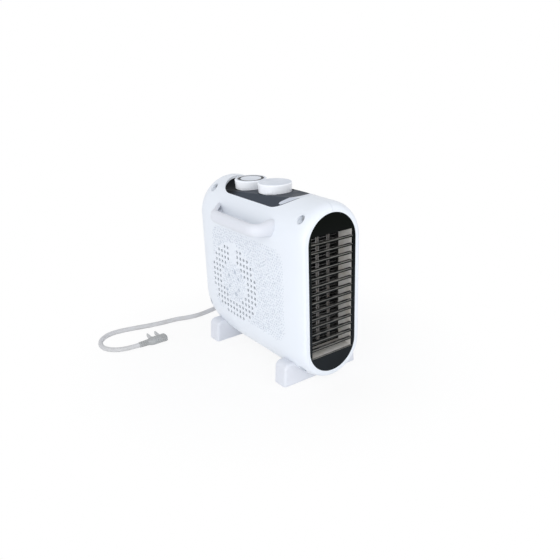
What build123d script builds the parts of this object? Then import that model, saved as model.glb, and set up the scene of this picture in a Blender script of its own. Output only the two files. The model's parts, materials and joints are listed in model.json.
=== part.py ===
"""Ceramic fan heater: a slim upright casing on two foot bars, side intake, louvred front outlet.

Millimetres, +Z up, outlet towards -Y, intake grille and carrying handle towards -X.
Pieces are modelled with x = 0 on the casing's seam plane and y = 0 on its front face,
and are moved to the part's own origin, the middle of its base, when they are saved.
"""
from build123d import *
import math
import os

# ---- casing ----
BODY_HALF = 49.6          # half width of the casing
BODY_BOTTOM = 4.4
BODY_TOP = 239.0
BODY_DEPTH = 247.0
WALL = 2.4
FRONT_BLEND = 45.0        # length over which the front narrows
FRONT_INSET = 8.0         # how much each side comes in at the front face
CREST_BLEND = 14.0
CREST_INSET = 9.4
REAR_BLEND = 31.0
REAR_INSET = 14.0
REAR_TOP_BLEND = 24.0
REAR_TOP_DROP = 26.0
REAR_BOTTOM_BLEND = 60.0
REAR_BOTTOM_RISE = 40.0
SEAM = 0.3                # gap between the two casing halves
SEAT = 0.1                # clearance of a piece set in a recess
HOLE_PLAY = 0.05          # clearance round a screw or pin

# ---- outlet ----
PANEL_HALF = 36.8         # black outlet panel, a stadium
PANEL_LOW = 17.5
PANEL_HIGH = BODY_TOP - 11.5
PANEL_THICK = 3.0
PANEL_LEDGE = 3.0         # width and thickness of the casing's ledge behind the panel
WINDOW_HALF = 33.0
WINDOW_LOW = 42.0
WINDOW_HIGH = BODY_TOP - 37.0
SLAT_GAPS = 15
SLAT_THICK = 2.4
SLAT_FRONT = 0.8
SLAT_DEPTH = 5.0
SLAT_ROOT = 0.5           # how far a slat's end runs into the plate
LINING_WALL = 1.4

# ---- heating element ----
FRAME_FRONT = 28.0
FRAME_DEPTH = 16.0
FRAME_WALL = 2.2
FRAME_MARGIN = 1.0        # frame opening beyond the window, each way
STONE_THICK = 2.4
STRIP_THICK = 0.8
STONE_ROWS = 3
STONES_PER_ROW = 6
STONE_GAP = 1.0
FIN_SHEET = 0.5
FIN_PITCH = 4.0
FIN_DEPTH = 12.0
TAB_HEIGHT = 9.0
TAB_WIDTH = 6.3

# ---- intake and fan ----
FAN_Y = BODY_DEPTH - 94.2
FAN_Z = 105.0
FAN_RADIUS = 50.0
FAN_BORE = 41.0
FAN_WIDTH = 42.0
FAN_BLADES = 32
BLADE_THICK = 1.0
FAN_DISC = 2.0
FAN_RING = 2.0
HUB_RADIUS = 8.0
HOLE_PITCH = 8.0
HOLE_RADIUS = 2.3
HOLE_INNER = 3.9          # grille radii in pitches
HOLE_OUTER = 6.9
SCROLL_LEFT = -40.0
SCROLL_RIGHT = 12.0
SCROLL_WALL = 1.8
SCROLL_START = 56.0       # scroll radius at the tongue
SCROLL_END = 76.0         # scroll radius at the top
TONGUE_ANGLE = 225.0
SCROLL_MOUTH = FAN_Y - 60.8   # where the scroll meets the duct
INLET_RADIUS = 44.0
COVER_THICK = 2.0
LIP_LENGTH = 3.0
EAR_RADIUS = 7.0

# ---- motor ----
SHAFT_RADIUS = 2.5
SHAFT_RUNNING = 0.05
STATOR_FRONT = 21.0
STATOR_LENGTH = 18.0
STATOR_HALF = 26.0
STATOR_LOW = 22.0
STATOR_HIGH = 52.0
ROTOR_RADIUS = 15.0
AIR_GAP = 0.4
YOKE_WINDOW_HALF = 15.0
YOKE_WINDOW_LOW = 20.0
YOKE_WINDOW_HIGH = 42.0
COIL_WALL = 7.0
BRACKET_THICK = 2.0
BRACKET_HEIGHT = 14.0
BRACKET_STANDOFF = 5.0
BUSH_RADIUS = 7.0
CUP_RADIUS = 9.0
CUP_LENGTH = 6.0
MOTOR_SCREW_Y = 21.0
MOTOR_SCREW_RADIUS = 1.6

# ---- control panel ----
DISH_HALF = 34.7          # control panel, a stadium in plan
DISH_FRONT = 46.3
DISH_REAR = BODY_DEPTH - 36.0
DISH_LEVEL = BODY_TOP - 6.6   # height of its flat surface at the thermostat
DISH_SLOPE = 0.0748       # fall of that surface towards the rear
DISH_SWEEP_START = DISH_REAR - 23.0  # where it turns up to the rear wall
DISH_SWEEP = 17.0
DISH_WALL_RISE = 0.7      # slope of the rear wall
TOP_THICK = 3.0
LEDGE_THICK = 2.0
LEDGE_WIDTH = 3.0
LABEL_HALF = 29.0
LABEL_WIDTH = 12.5
LABEL_MARGIN = 1.2
LABEL_REAR_RADIUS = 42.0
LABEL_ROUND = 2.0
LABEL_THICK = 0.6
WELL_MARGIN = 2.0
WELL_DROP = 0.8
KNOB_HEIGHT = 12.9
KNOB_TAPER = 1.0
KNOB_WALL = 2.4
KNOB_CAP = 3.2
KNOB_BOSS = 6.0
KNOB_ROUND = 1.6
THERMOSTAT_Y = DISH_FRONT + 70.2 * (DISH_REAR - DISH_FRONT) / 164.7
THERMOSTAT_KNOB_TOP = BODY_TOP + 6.3
THERMOSTAT_KNOB_RADIUS = 23.0
SWITCH_Y = DISH_REAR - 37.0
SWITCH_KNOB_TOP = BODY_TOP + 2.0
SWITCH_KNOB_RADIUS = 22.5
RING_OUTER = 18.5
RING_INNER = 14.4
RING_SUNK = 1.0
RING_THICK = 0.8
SPINDLE_RADIUS = 3.0
SPINDLE_PLAY = 0.05
BUSH_NECK_RADIUS = 5.0
BRACKET_TOP = BODY_TOP - 24.0
BRACKET_SHEET = 1.5
BRACKET_HALF = 27.0
NUT_RADIUS = 8.0
NUT_THICK = 2.5
POST_RADIUS = 3.5
POST_X = 22.0
POST_BORE = 6.0
POST_SCREW_RADIUS = 1.45
THERMOSTAT_BODY = (28.0, 24.0, 14.0)
SWITCH_BODY = (28.0, 28.0, 19.0)

# ---- handle ----
HANDLE_REACH = 77.0       # outer face of the bar from the seam plane
HANDLE_Z = BODY_TOP - 35.5
HANDLE_HEIGHT = 16.5
HANDLE_THICK = 13.0
HANDLE_LEG_THICK = 8.6    # the rear leg is thinner than the bar
HANDLE_FRONT = 62.0
HANDLE_REAR_BEND = BODY_DEPTH - 89.0
HANDLE_REAR = BODY_DEPTH - 53.0
HANDLE_BEND = 12.0
HANDLE_POST = 3.8         # boss round each handle screw
HANDLE_SKIN = 2.6         # wall round the bar's hollow inner side
ROOT_FLARE = 2.8          # extra half height at the front root
ROOT_FLARE_LENGTH = 15.0
FRONT_BITE = 14.0
REAR_SCREW_Y = BODY_DEPTH - 67.0
REAR_BITE = 7.0

# ---- feet ----
FOOT_HALF = 60.3
FOOT_THICK = 23.5
FOOT_FRONT = 24.0
FOOT_REAR = BODY_DEPTH - 55.0
FOOT_HEIGHT = 31.5
FOOT_SHOULDER = 8.3
FOOT_DRAFT = 1.5
FOOT_ROUND = 4.0
PAD_HEIGHT = 2.0
PAD_PROUD = 1.0
PAD_LENGTH = 26.0
PAD_WIDTH = 13.0
FOOT_SCREW_X = 18.0
FOOT_SCREW_TOP = 21.0

# ---- casing screws (y, z) ----
CASE_SCREWS = [(15.0, BODY_TOP - 17.0), (15.0, 25.0), (BODY_DEPTH - 29.2, BODY_TOP - 13.6),
               (BODY_DEPTH - 21.0, 52.0)]
SCREW_RADIUS = 1.8
HEAD_RADIUS = 3.4
HEAD_HEIGHT = 2.2
RECESS_RADIUS = 5.0
RECESS_DEPTH = 7.0
BOSS_RADIUS = 6.8
SCREW_BITE = 14.0

# ---- mains lead ----
TERMINAL_Z = 24.0
TERMINAL_REAR = BODY_DEPTH - 38.0
TERMINAL_DEPTH = 12.0
CORD_RADIUS = 3.5
GLAND_X = 20.0
GLAND_Z = 30.0
GLAND_TIP = BODY_DEPTH + 23.0
GLAND_NECK = 4.5
GLAND_BASE = 6.5
COIL_X = 85.0
COIL_Y = BODY_DEPTH + 103.0
COIL_MEAN = 35.0
COIL_TURNS = 4.75
TIE_WIDTH = 8.0
TIE_THICK = 1.2
LEAD_ROUTE = [(x, BODY_DEPTH + behind, z) for x, behind, z in [
    (20.0, 23, 30.0), (20.0, 37, 30.0), (22.0, 51, 25.0), (26.5, 64, 15.0), (32.0, 77, 7.0),
    (37.0, 87, 3.8), (40.4, 94, 3.5)]]
RUN_ROUTE = [(x, BODY_DEPTH + behind, z) for x, behind, z in [
    (81.0, 54.8, 3.5), (53.0, 56.2, 3.5), (29.0, 55.6, 3.5), (5.0, 52.4, 3.5), (-17.0, 47.4, 3.5),
    (-38.0, 44.2, 3.5), (-56.0, 46.6, 3.5), (-72.0, 52.8, 3.5), (-91.0, 54.4, 3.5),
    (-113.0, 57.4, 3.5), (-136.0, 63.6, 3.5), (-158.0, 69, 3.5), (-177.5, 70.4, 3.5),
    (-195.0, 61.2, 3.5), (-204.6, 44, 3.5), (-203.6, 25.6, 3.8), (-193.6, 11.6, 4.3),
    (-177.0, 3.4, 4.8), (-160.0, 3.4, 4.8)]]
PLUG_LENGTH = 44.0
PLUG_WIDTH = 14.0
PLUG_HEIGHT = 9.6
PLUG_SLEEVE = 16.0
PIN_LENGTH = 17.0
PIN_SPACING = 12.7
PIN_WIDTH = 6.3
PIN_THICK = 1.5

MID_X = (HANDLE_REACH - FOOT_HALF) / 2
SLAT_PITCH = (WINDOW_HIGH - WINDOW_LOW) / SLAT_GAPS
FAR = 400.0               # longer than anything it cuts


# ---- helpers ----
def block(x0, x1, y0, y1, z0, z1):
    """A box between two corners."""
    return Pos((x0 + x1) / 2, (y0 + y1) / 2, (z0 + z1) / 2) * Box(x1 - x0, y1 - y0, z1 - z0)


def rod_x(x0, x1, y, z, radius):
    return Pos((x0 + x1) / 2, y, z) * Rot(0, 90, 0) * Cylinder(radius, x1 - x0)


def rod_y(y0, y1, x, z, radius):
    return Pos(x, (y0 + y1) / 2, z) * Rot(90, 0, 0) * Cylinder(radius, y1 - y0)


def rod_z(z0, z1, x, y, radius):
    return Pos(x, y, (z0 + z1) / 2) * Cylinder(radius, z1 - z0)


def eased(distance, length, inset):
    """Quarter-ellipse blend: the full inset at the end, none once the distance passes the length."""
    if distance >= length:
        return 0.0
    return inset * (1 - math.sqrt(1 - ((length - distance) / length) ** 2))


def body_size(y):
    """Half width, bottom and top of the casing's outline at depth y."""
    rear = BODY_DEPTH - y
    side = eased(y, FRONT_BLEND, FRONT_INSET) + eased(rear, REAR_BLEND, REAR_INSET)
    low = BODY_BOTTOM + eased(y, FRONT_BLEND, FRONT_INSET) + eased(rear, REAR_BOTTOM_BLEND, REAR_BOTTOM_RISE)
    high = BODY_TOP - eased(y, CREST_BLEND, CREST_INSET) - eased(rear, REAR_TOP_BLEND, REAR_TOP_DROP)
    return BODY_HALF - side, low, high


def stadium(y, half, low, high):
    """An upright stadium face in the plane at depth y."""
    lower, upper = low + half, high - half
    return make_face([
        ThreePointArc((-half, y, lower), (0, y, low), (half, y, lower)),
        Line((half, y, lower), (half, y, upper)),
        ThreePointArc((half, y, upper), (0, y, high), (-half, y, upper)),
        Line((-half, y, upper), (-half, y, lower)),
    ])


def body_stations(front, rear):
    """Depths of the loft's outlines, close together where the casing curves."""
    steps = [math.radians(15 * i) for i in range(7)]
    stations = {front, rear}
    stations |= {FRONT_BLEND * (1 - math.cos(a)) for a in steps}
    stations |= {BODY_DEPTH - REAR_BLEND * (1 - math.cos(a)) for a in steps}
    stations |= {BODY_DEPTH - REAR_BOTTOM_BLEND, BODY_DEPTH - 0.75 * REAR_BOTTOM_BLEND}
    stations |= {FRONT_BLEND + 0.4 * (BODY_DEPTH - REAR_BOTTOM_BLEND - FRONT_BLEND)}
    kept = []
    for y in sorted(s for s in stations if front <= s <= rear):
        if not kept or y - kept[-1] > 0.9:
            kept.append(y)
    kept[-1] = rear
    return kept


def casing(inset, front=0.0, rear=BODY_DEPTH):
    """The casing's solid form with every outline pulled in by inset."""
    faces = []
    for y in body_stations(front, rear):
        half, low, high = body_size(y)
        faces.append(stadium(y, half - inset, low + inset, high - inset))
    return loft(faces)


def dish_outline(grow):
    """Plan of the control panel, a stadium, grown outwards."""
    half = DISH_HALF + grow
    front, rear = DISH_FRONT + DISH_HALF, DISH_REAR - DISH_HALF
    return make_face([
        Line((half, front), (half, rear)),
        ThreePointArc((half, rear), (0, rear + half), (-half, rear)),
        Line((-half, rear), (-half, front)),
        ThreePointArc((-half, front), (0, front - half), (half, front)),
    ])


def dish_prism(grow):
    return Pos(0, 0, BRACKET_TOP) * extrude(dish_outline(grow), amount=60)


def dish_height(y):
    """Height of the panel's flat surface at depth y, in front of the rear sweep."""
    return DISH_LEVEL - DISH_SLOPE * (y - THERMOSTAT_Y)


def above_dish(drop):
    """Everything above the control panel's surface lowered by drop.

    The surface is the casing's own round top, cut by a flat that falls to the rear
    and then sweeps up into the rear wall.
    """
    start, end = DISH_SWEEP_START, DISH_SWEEP_START + DISH_SWEEP
    first, last = -math.atan(DISH_SLOPE), math.atan(DISH_WALL_RISE)
    low = dish_height(start)
    high = low + DISH_SWEEP * math.tan((first + last) / 2)
    far = BODY_DEPTH + 10
    edge = [
        Line((0, DISH_FRONT - 10, dish_height(DISH_FRONT - 10)), (0, start, low)),
        TangentArc((0, start, low), (0, end, high), tangent=(0, 1, -DISH_SLOPE)),
        Line((0, end, high), (0, far, high + DISH_WALL_RISE * (far - end))),
    ]
    under = BRACKET_TOP - 10
    front, rear, last_z = DISH_FRONT - 10, far, high + DISH_WALL_RISE * (far - end)
    face = make_face(edge + [
        Line((0, rear, last_z), (0, rear, under)),
        Line((0, rear, under), (0, front, under)),
        Line((0, front, under), (0, front, dish_height(front))),
    ])
    wedge = Pos(-BODY_HALF, 0, -drop) * extrude(face, amount=2 * BODY_HALF, dir=(1, 0, 0))
    room = block(-BODY_HALF, BODY_HALF, DISH_FRONT - 9, BODY_DEPTH - 5, BRACKET_TOP - 5, BODY_TOP + 20)
    return room - (casing(drop) & wedge)


def side_reach(y, z):
    """Half width of the casing at depth y and height z."""
    half, low, high = body_size(y)
    centre = min(max(z, low + half), high - half)
    return math.sqrt(half ** 2 - (z - centre) ** 2)


def save(name, shape):
    export_step(Pos(MID_X, -BODY_DEPTH / 2, 0) * shape, f"parts/{name}.step")


# ---- casing halves ----
def casing_shells():
    """Both halves, with ledges, bosses, ribs, the outlet opening and the intake grille."""
    outer = casing(0)
    core = casing(WALL / 2)
    shell = outer - casing(WALL, PANEL_THICK + PANEL_LEDGE, BODY_DEPTH - WALL)
    shell += outer & dish_prism(WALL) & above_dish(TOP_THICK + LEDGE_THICK)
    recess = stadium(0, PANEL_HALF + SEAT, PANEL_LOW - SEAT, PANEL_HIGH + SEAT)
    opening = stadium(0, PANEL_HALF - PANEL_LEDGE, PANEL_LOW + PANEL_LEDGE, PANEL_HIGH - PANEL_LEDGE)
    shell -= extrude(recess, amount=PANEL_THICK + SEAT, dir=(0, 1, 0))
    shell -= extrude(opening, amount=PANEL_THICK + PANEL_LEDGE + 1, dir=(0, 1, 0))
    lip = LINING_WALL + SEAT
    shell -= block(-WINDOW_HALF - lip, WINDOW_HALF + lip, PANEL_THICK, PANEL_THICK + PANEL_LEDGE + 1,
                   WINDOW_LOW - lip, WINDOW_HIGH + lip)

    frame_side = WINDOW_HALF + FRAME_MARGIN + FRAME_WALL + SEAT
    bosses = [rod_x(-side_reach(y, z), side_reach(y, z), y, z, BOSS_RADIUS) for y, z in CASE_SCREWS]
    for y in (FOOT_FRONT + FOOT_THICK / 2, FOOT_REAR + FOOT_THICK / 2):
        bosses += [rod_z(0, FOOT_SCREW_TOP + 1, x, y, 4.5) for x in (-FOOT_SCREW_X, FOOT_SCREW_X)]
    for z in (WINDOW_LOW + 28, WINDOW_HIGH - 28):
        for side in (-1, 1):
            near, far = sorted((side * frame_side, side * BODY_HALF))
            bosses.append(block(near, far, FRAME_FRONT + 2, FRAME_FRONT + FRAME_DEPTH - 2, z - 1.5, z + 1.5))
    bosses.append(block(GLAND_X - 11, GLAND_X + 4, TERMINAL_REAR - TERMINAL_DEPTH, TERMINAL_REAR,
                        0, TERMINAL_Z))
    for y, z in cover_screw_places():
        bosses.append(rod_x(-BODY_HALF, SCROLL_LEFT - COVER_THICK - SEAT, y, z, 4.0))
    for y, z in back_screw_places():
        bosses.append(rod_x(SCROLL_RIGHT + SEAT, BODY_HALF, y, z, 4.0))
    for boss in bosses:
        shell += boss & core
    shell -= dish_prism(0) & above_dish(TOP_THICK + SEAT)
    shell -= dish_prism(-LEDGE_WIDTH)

    cuts = []
    for y, z in CASE_SCREWS:
        reach = side_reach(y, z)
        cuts.append(rod_x(-BODY_HALF - 1, -reach + RECESS_DEPTH, y, z, RECESS_RADIUS))
        cuts.append(rod_x(-reach, SCREW_BITE + 1, y, z, SCREW_RADIUS + HOLE_PLAY))
    for x, y in foot_screw_places():
        cuts.append(rod_z(0, FOOT_SCREW_TOP, x, y, SCREW_RADIUS + HOLE_PLAY))
    for y, z, _ in handle_roots():
        cuts.append(rod_x(-BODY_HALF - 1, handle_seat(y, z), y, z, SCREW_RADIUS + HOLE_PLAY))
        cuts.append(rod_x(handle_seat(y, z), handle_seat(y, z) + 6, y, z, HEAD_RADIUS + 0.2))
    for y, z in cover_screw_places():
        cuts.append(rod_x(-BODY_HALF + WALL, SCROLL_LEFT, y, z, SCREW_RADIUS + HOLE_PLAY))
    for y, z in back_screw_places():
        cuts.append(rod_x(SCROLL_RIGHT - 1, BODY_HALF - WALL, y, z, SCREW_RADIUS + HOLE_PLAY))
    cuts.append(rod_y(BODY_DEPTH - 40, BODY_DEPTH + 5, GLAND_X, GLAND_Z, GLAND_NECK + SEAT))
    for cut in cuts:
        shell -= cut

    left = shell & block(-FAR, -SEAM / 2, -FAR, FAR, -FAR, FAR)
    right = shell & block(SEAM / 2, FAR, -FAR, FAR, -FAR, FAR)
    holes = [rod_x(-BODY_HALF - 1, -BODY_HALF + WALL + 1, y, z, HOLE_RADIUS) for y, z in grille_places()]
    left -= Compound(holes)
    return left, right


def grille_places():
    """Square grid inside a ring, with a closed rib two columns wide above the hub."""
    places = []
    for column in range(14):
        for row in range(13):
            dy, dz = column - 6.5, row - 6.0
            radius = math.hypot(dy, dz)
            closed_rib = abs(dy) < 1 and dz > 0
            if HOLE_INNER <= radius <= HOLE_OUTER and not closed_rib:
                places.append((FAN_Y + dy * HOLE_PITCH, FAN_Z + dz * HOLE_PITCH))
    return places


def foot_screw_places():
    return [(x, y + FOOT_THICK / 2) for y in (FOOT_FRONT, FOOT_REAR) for x in (-FOOT_SCREW_X, FOOT_SCREW_X)]


def handle_roots():
    """Depth, height and length of the bite of each handle screw."""
    return [(HANDLE_FRONT, HANDLE_Z, FRONT_BITE), (REAR_SCREW_Y, HANDLE_Z - 3.5, REAR_BITE)]


def handle_seat(y, z):
    """Inside face of the casing wall under a handle screw's head."""
    return -side_reach(y, z) + WALL - 0.2


def ear_place(angle):
    """Middle of a screw ear just outside the scroll's wall."""
    return scroll_point(0, angle, SCROLL_WALL + HEAD_RADIUS + 0.6)[1:]


def cover_screw_places():
    low, _ = mouth_heights()
    return [ear_place(40), ear_place(318), (SCROLL_MOUTH + 9, low - SCROLL_WALL - HEAD_RADIUS + 1)]


def back_screw_places():
    low, high = mouth_heights()
    return [ear_place(36), (SCROLL_MOUTH + 12, high - 14), (SCROLL_MOUTH + 12, low + 14)]


def case_screws():
    """Four screws that pull the halves together, heads in the recesses of the left half."""
    group = []
    for y, z in CASE_SCREWS:
        seat = -side_reach(y, z) + RECESS_DEPTH
        screw = rod_x(seat, SCREW_BITE, y, z, SCREW_RADIUS)
        head = rod_x(seat - HEAD_HEIGHT, seat, y, z, HEAD_RADIUS)
        slot = block(seat - HEAD_HEIGHT - 1, seat - HEAD_HEIGHT + 1, y - 2.4, y + 2.4, z - 0.5, z + 0.5)
        cross = block(seat - HEAD_HEIGHT - 1, seat - HEAD_HEIGHT + 1, y - 0.5, y + 0.5, z - 2.4, z + 2.4)
        group.append(screw + head - slot - cross)
    return Compound(group)


# ---- outlet ----
def outlet_panel():
    """Stadium plate with a window and fourteen slats across it."""
    panel = extrude(stadium(0, PANEL_HALF, PANEL_LOW, PANEL_HIGH), amount=PANEL_THICK, dir=(0, 1, 0))
    panel -= block(-WINDOW_HALF, WINDOW_HALF, -1, PANEL_THICK + 1, WINDOW_LOW, WINDOW_HIGH)
    slat_back = SLAT_FRONT + SLAT_DEPTH
    reach = WINDOW_HALF + SLAT_ROOT
    for i in range(1, SLAT_GAPS):
        z = WINDOW_LOW + i * SLAT_PITCH
        slat = block(-reach, reach, SLAT_FRONT, slat_back, z - SLAT_THICK / 2, z + SLAT_THICK / 2)
        front_edges = slat.edges().filter_by(Axis.X).sort_by(Axis.Y)[:2]
        panel += fillet(front_edges, radius=SLAT_THICK * 0.45)
    for side in (-1, 1):
        near, far = sorted((side * (WINDOW_HALF - SEAT), side * (reach + 1)))
        panel -= block(near, far, PANEL_THICK, slat_back + 1, WINDOW_LOW, WINDOW_HIGH)
    return panel


def duct_lining():
    """Heat-proof lining between the outlet panel and the element's frame."""
    front, rear = PANEL_THICK + SEAT, FRAME_FRONT - SEAT
    outer = block(-WINDOW_HALF - LINING_WALL, WINDOW_HALF + LINING_WALL, front, rear,
                  WINDOW_LOW - LINING_WALL, WINDOW_HIGH + LINING_WALL)
    return outer - block(-WINDOW_HALF, WINDOW_HALF, front - 1, rear + 1, WINDOW_LOW, WINDOW_HIGH)


# ---- heating element ----
FRAME_INSIDE = WINDOW_HALF + FRAME_MARGIN
FRAME_LOW = WINDOW_LOW - FRAME_MARGIN
FRAME_HIGH = WINDOW_HIGH + FRAME_MARGIN
ROW_THICK = STONE_THICK + 2 * STRIP_THICK
FIN_WIDTH = (2 * FRAME_INSIDE - STONE_ROWS * ROW_THICK - 2 * STRIP_THICK - 2 * SEAT) / (STONE_ROWS + 1)
ELEMENT_MID = FRAME_FRONT + FRAME_DEPTH / 2


def element_columns():
    """Left edges of the fin columns and of the stone rows, from one side of the frame to the other."""
    fins, rows = [], []
    x = -FRAME_INSIDE + SEAT + STRIP_THICK
    for i in range(STONE_ROWS + 1):
        fins.append(x)
        x += FIN_WIDTH
        if i < STONE_ROWS:
            rows.append(x)
            x += ROW_THICK
    return fins, rows


def heater_frame():
    """Moulded frame with slots in its top for the terminal tabs."""
    outside = FRAME_INSIDE + FRAME_WALL
    frame = block(-outside, outside, FRAME_FRONT, FRAME_FRONT + FRAME_DEPTH,
                  FRAME_LOW - FRAME_WALL, FRAME_HIGH + FRAME_WALL)
    frame -= block(-FRAME_INSIDE, FRAME_INSIDE, FRAME_FRONT - 1, FRAME_FRONT + FRAME_DEPTH + 1,
                   FRAME_LOW, FRAME_HIGH)
    for x in strip_places():
        frame -= block(x - 1.0, x + 1.0, ELEMENT_MID - TAB_WIDTH / 2 - 0.4, ELEMENT_MID + TAB_WIDTH / 2 + 0.4,
                       FRAME_HIGH - 1, FRAME_HIGH + FRAME_WALL + 1)
    return frame


def strip_places():
    """Middle x of the electrode strip on each side of each stone row."""
    places = []
    for x in element_columns()[1]:
        places.append(x + STRIP_THICK / 2)
        places.append(x + ROW_THICK - STRIP_THICK / 2)
    return places


def ptc_stones():
    """Rows of small ceramic plates between the electrode strips."""
    length = (FRAME_HIGH - FRAME_LOW - 2 * STONE_GAP - (STONES_PER_ROW - 1) * STONE_GAP) / STONES_PER_ROW
    group = []
    for x in element_columns()[1]:
        for i in range(STONES_PER_ROW):
            z = FRAME_LOW + STONE_GAP + i * (length + STONE_GAP)
            group.append(block(x + STRIP_THICK, x + STRIP_THICK + STONE_THICK,
                               ELEMENT_MID - FIN_DEPTH / 2, ELEMENT_MID + FIN_DEPTH / 2, z, z + length))
    return Compound(group)


def ptc_electrodes():
    """Aluminium strips beside the stones, each with its tab through the frame."""
    group = []
    for x in strip_places():
        strip = block(x - STRIP_THICK / 2, x + STRIP_THICK / 2, ELEMENT_MID - FIN_DEPTH / 2,
                      ELEMENT_MID + FIN_DEPTH / 2, FRAME_LOW + SEAT, FRAME_HIGH - SEAT)
        strip += block(x - STRIP_THICK / 2, x + STRIP_THICK / 2, ELEMENT_MID - TAB_WIDTH / 2,
                       ELEMENT_MID + TAB_WIDTH / 2, FRAME_HIGH - 1, FRAME_HIGH + FRAME_WALL + TAB_HEIGHT)
        group.append(strip)
    for x in (-FRAME_INSIDE + SEAT, FRAME_INSIDE - SEAT - STRIP_THICK):
        group.append(block(x, x + STRIP_THICK, ELEMENT_MID - FIN_DEPTH / 2, ELEMENT_MID + FIN_DEPTH / 2,
                           FRAME_LOW + SEAT, FRAME_HIGH - SEAT))
    return Compound(group)


def fin_column(x0, x1):
    """One column of folded aluminium: side sheets against both strips, joined by flat fins."""
    low, high = FRAME_LOW + SEAT + 1, FRAME_HIGH - SEAT - 1
    column = block(x0, x1, ELEMENT_MID - FIN_DEPTH / 2, ELEMENT_MID + FIN_DEPTH / 2, low, high)
    count = int((high - low) / FIN_PITCH)
    start = (low + high) / 2 - count * FIN_PITCH / 2
    gaps = [block(x0 + FIN_SHEET, x1 - FIN_SHEET, FRAME_FRONT - 1, FRAME_FRONT + FRAME_DEPTH + 1,
                  start + i * FIN_PITCH + FIN_SHEET / 2, start + (i + 1) * FIN_PITCH - FIN_SHEET / 2)
            for i in range(count)]
    return column - Compound(gaps)


def ptc_fins():
    return Compound([fin_column(x, x + FIN_WIDTH) for x in element_columns()[0]])


def thermal_cutout():
    """Bimetal disc thermostat on a tab above the element's frame."""
    rows = element_columns()[1]
    x, top = (rows[1] + ROW_THICK + rows[2]) / 2, FRAME_HIGH + FRAME_WALL
    can = rod_z(top, top + 5, x, ELEMENT_MID, 5.4) + rod_z(top + 5, top + 9, x, ELEMENT_MID, 4.4)
    for side in (-1, 1):
        can += block(x - 0.4, x + 0.4, ELEMENT_MID + side * 2.4 - 1.5, ELEMENT_MID + side * 2.4 + 1.5,
                     top + 8, top + 14)
    return can


def thermal_fuse():
    """One-shot fuse lying on the frame, in its clip."""
    rows = element_columns()[1]
    x, top = (rows[0] + ROW_THICK + rows[1]) / 2, FRAME_HIGH + FRAME_WALL
    fuse = rod_y(ELEMENT_MID - 6, ELEMENT_MID + 6, x, top + 3.4, 2.2)
    fuse += block(x - 3, x + 3, ELEMENT_MID - 2, ELEMENT_MID + 2, top, top + 3.4)
    return fuse


# ---- air path ----
def air_duct():
    """Flared duct from the scroll's mouth to the element's frame."""
    front = FRAME_FRONT + FRAME_DEPTH + SEAT
    rear = SCROLL_MOUTH - SEAT
    low, high = mouth_heights()

    def side(y, x0, x1, z0, z1, grow):
        outline = Rectangle(x1 - x0 + 2 * grow, z1 - z0 + 2 * grow)
        return Pos((x0 + x1) / 2, y, (z0 + z1) / 2) * Rot(90, 0, 0) * outline

    def skin(grow):
        return loft([side(front, -FRAME_INSIDE, FRAME_INSIDE, FRAME_LOW, FRAME_HIGH, grow),
                     side(rear, SCROLL_LEFT, SCROLL_RIGHT - SCROLL_WALL, low, high, grow)])
    return skin(SCROLL_WALL) - skin(0)


def scroll_radius(angle):
    """Spiral radius, growing from the tongue round the rear to the top; degrees, +Y is 0."""
    turned = (angle - TONGUE_ANGLE + 360) % 360
    return SCROLL_START + (SCROLL_END - SCROLL_START) * turned / (450 - TONGUE_ANGLE)


def scroll_point(x, angle, grow):
    radius = scroll_radius(angle) + grow
    a = math.radians(angle)
    return (x, FAN_Y + radius * math.cos(a), FAN_Z + radius * math.sin(a))


def mouth_heights():
    """Lower and upper inner walls of the scroll's mouth."""
    low = FAN_Z + SCROLL_START * math.sin(math.radians(TONGUE_ANGLE)) - 8
    return low, FAN_Z + SCROLL_END


def scroll_face(x, grow):
    """Outline of the scroll: spiral by arcs, then straight to the mouth."""
    low, high = mouth_heights()
    start = TONGUE_ANGLE + 0.001
    arcs = []
    step = (450 - start) / 6
    for i in range(6):
        a = start + i * step
        arcs.append(ThreePointArc(scroll_point(x, a, grow), scroll_point(x, a + step / 2, grow),
                                  scroll_point(x, min(a + step, 450), grow)))
    top = scroll_point(x, 450, grow)
    tongue = scroll_point(x, start, grow)
    upper, lower = (x, SCROLL_MOUTH, top[2]), (x, SCROLL_MOUTH, low - grow)
    return make_face(arcs + [Line(top, upper), Line(upper, lower), Line(lower, tongue)])


def scroll_housing():
    """Spiral wall and back plate, with the motor's standoffs."""
    depth = SCROLL_RIGHT - SCROLL_LEFT
    body = extrude(scroll_face(SCROLL_LEFT, SCROLL_WALL), amount=depth, dir=(1, 0, 0))
    body -= extrude(scroll_face(SCROLL_LEFT, 0), amount=depth - SCROLL_WALL, dir=(1, 0, 0))
    low, high = mouth_heights()
    body -= block(SCROLL_LEFT - 1, SCROLL_RIGHT - SCROLL_WALL, SCROLL_MOUTH - 5, SCROLL_MOUTH + 6, low, high)
    for side in (-1, 1):
        body += rod_x(SCROLL_RIGHT, SCROLL_RIGHT + BRACKET_STANDOFF, FAN_Y + side * MOTOR_SCREW_Y, FAN_Z, 4.0)
    for y, z in back_screw_places():
        body += rod_x(SCROLL_RIGHT - SCROLL_WALL, SCROLL_RIGHT, y, z, EAR_RADIUS)
    for side in (-1, 1):
        body -= rod_x(SCROLL_RIGHT - 3, SCROLL_RIGHT + 6, FAN_Y + side * MOTOR_SCREW_Y, FAN_Z,
                      MOTOR_SCREW_RADIUS + HOLE_PLAY)
    body -= rod_x(SCROLL_RIGHT - 5, SCROLL_RIGHT + 6, FAN_Y, FAN_Z, CUP_RADIUS + 1)
    for y, z in back_screw_places():
        body -= rod_x(SCROLL_RIGHT - 5, SCROLL_RIGHT + 6, y, z, SCREW_RADIUS + HOLE_PLAY)
    return body


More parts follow.
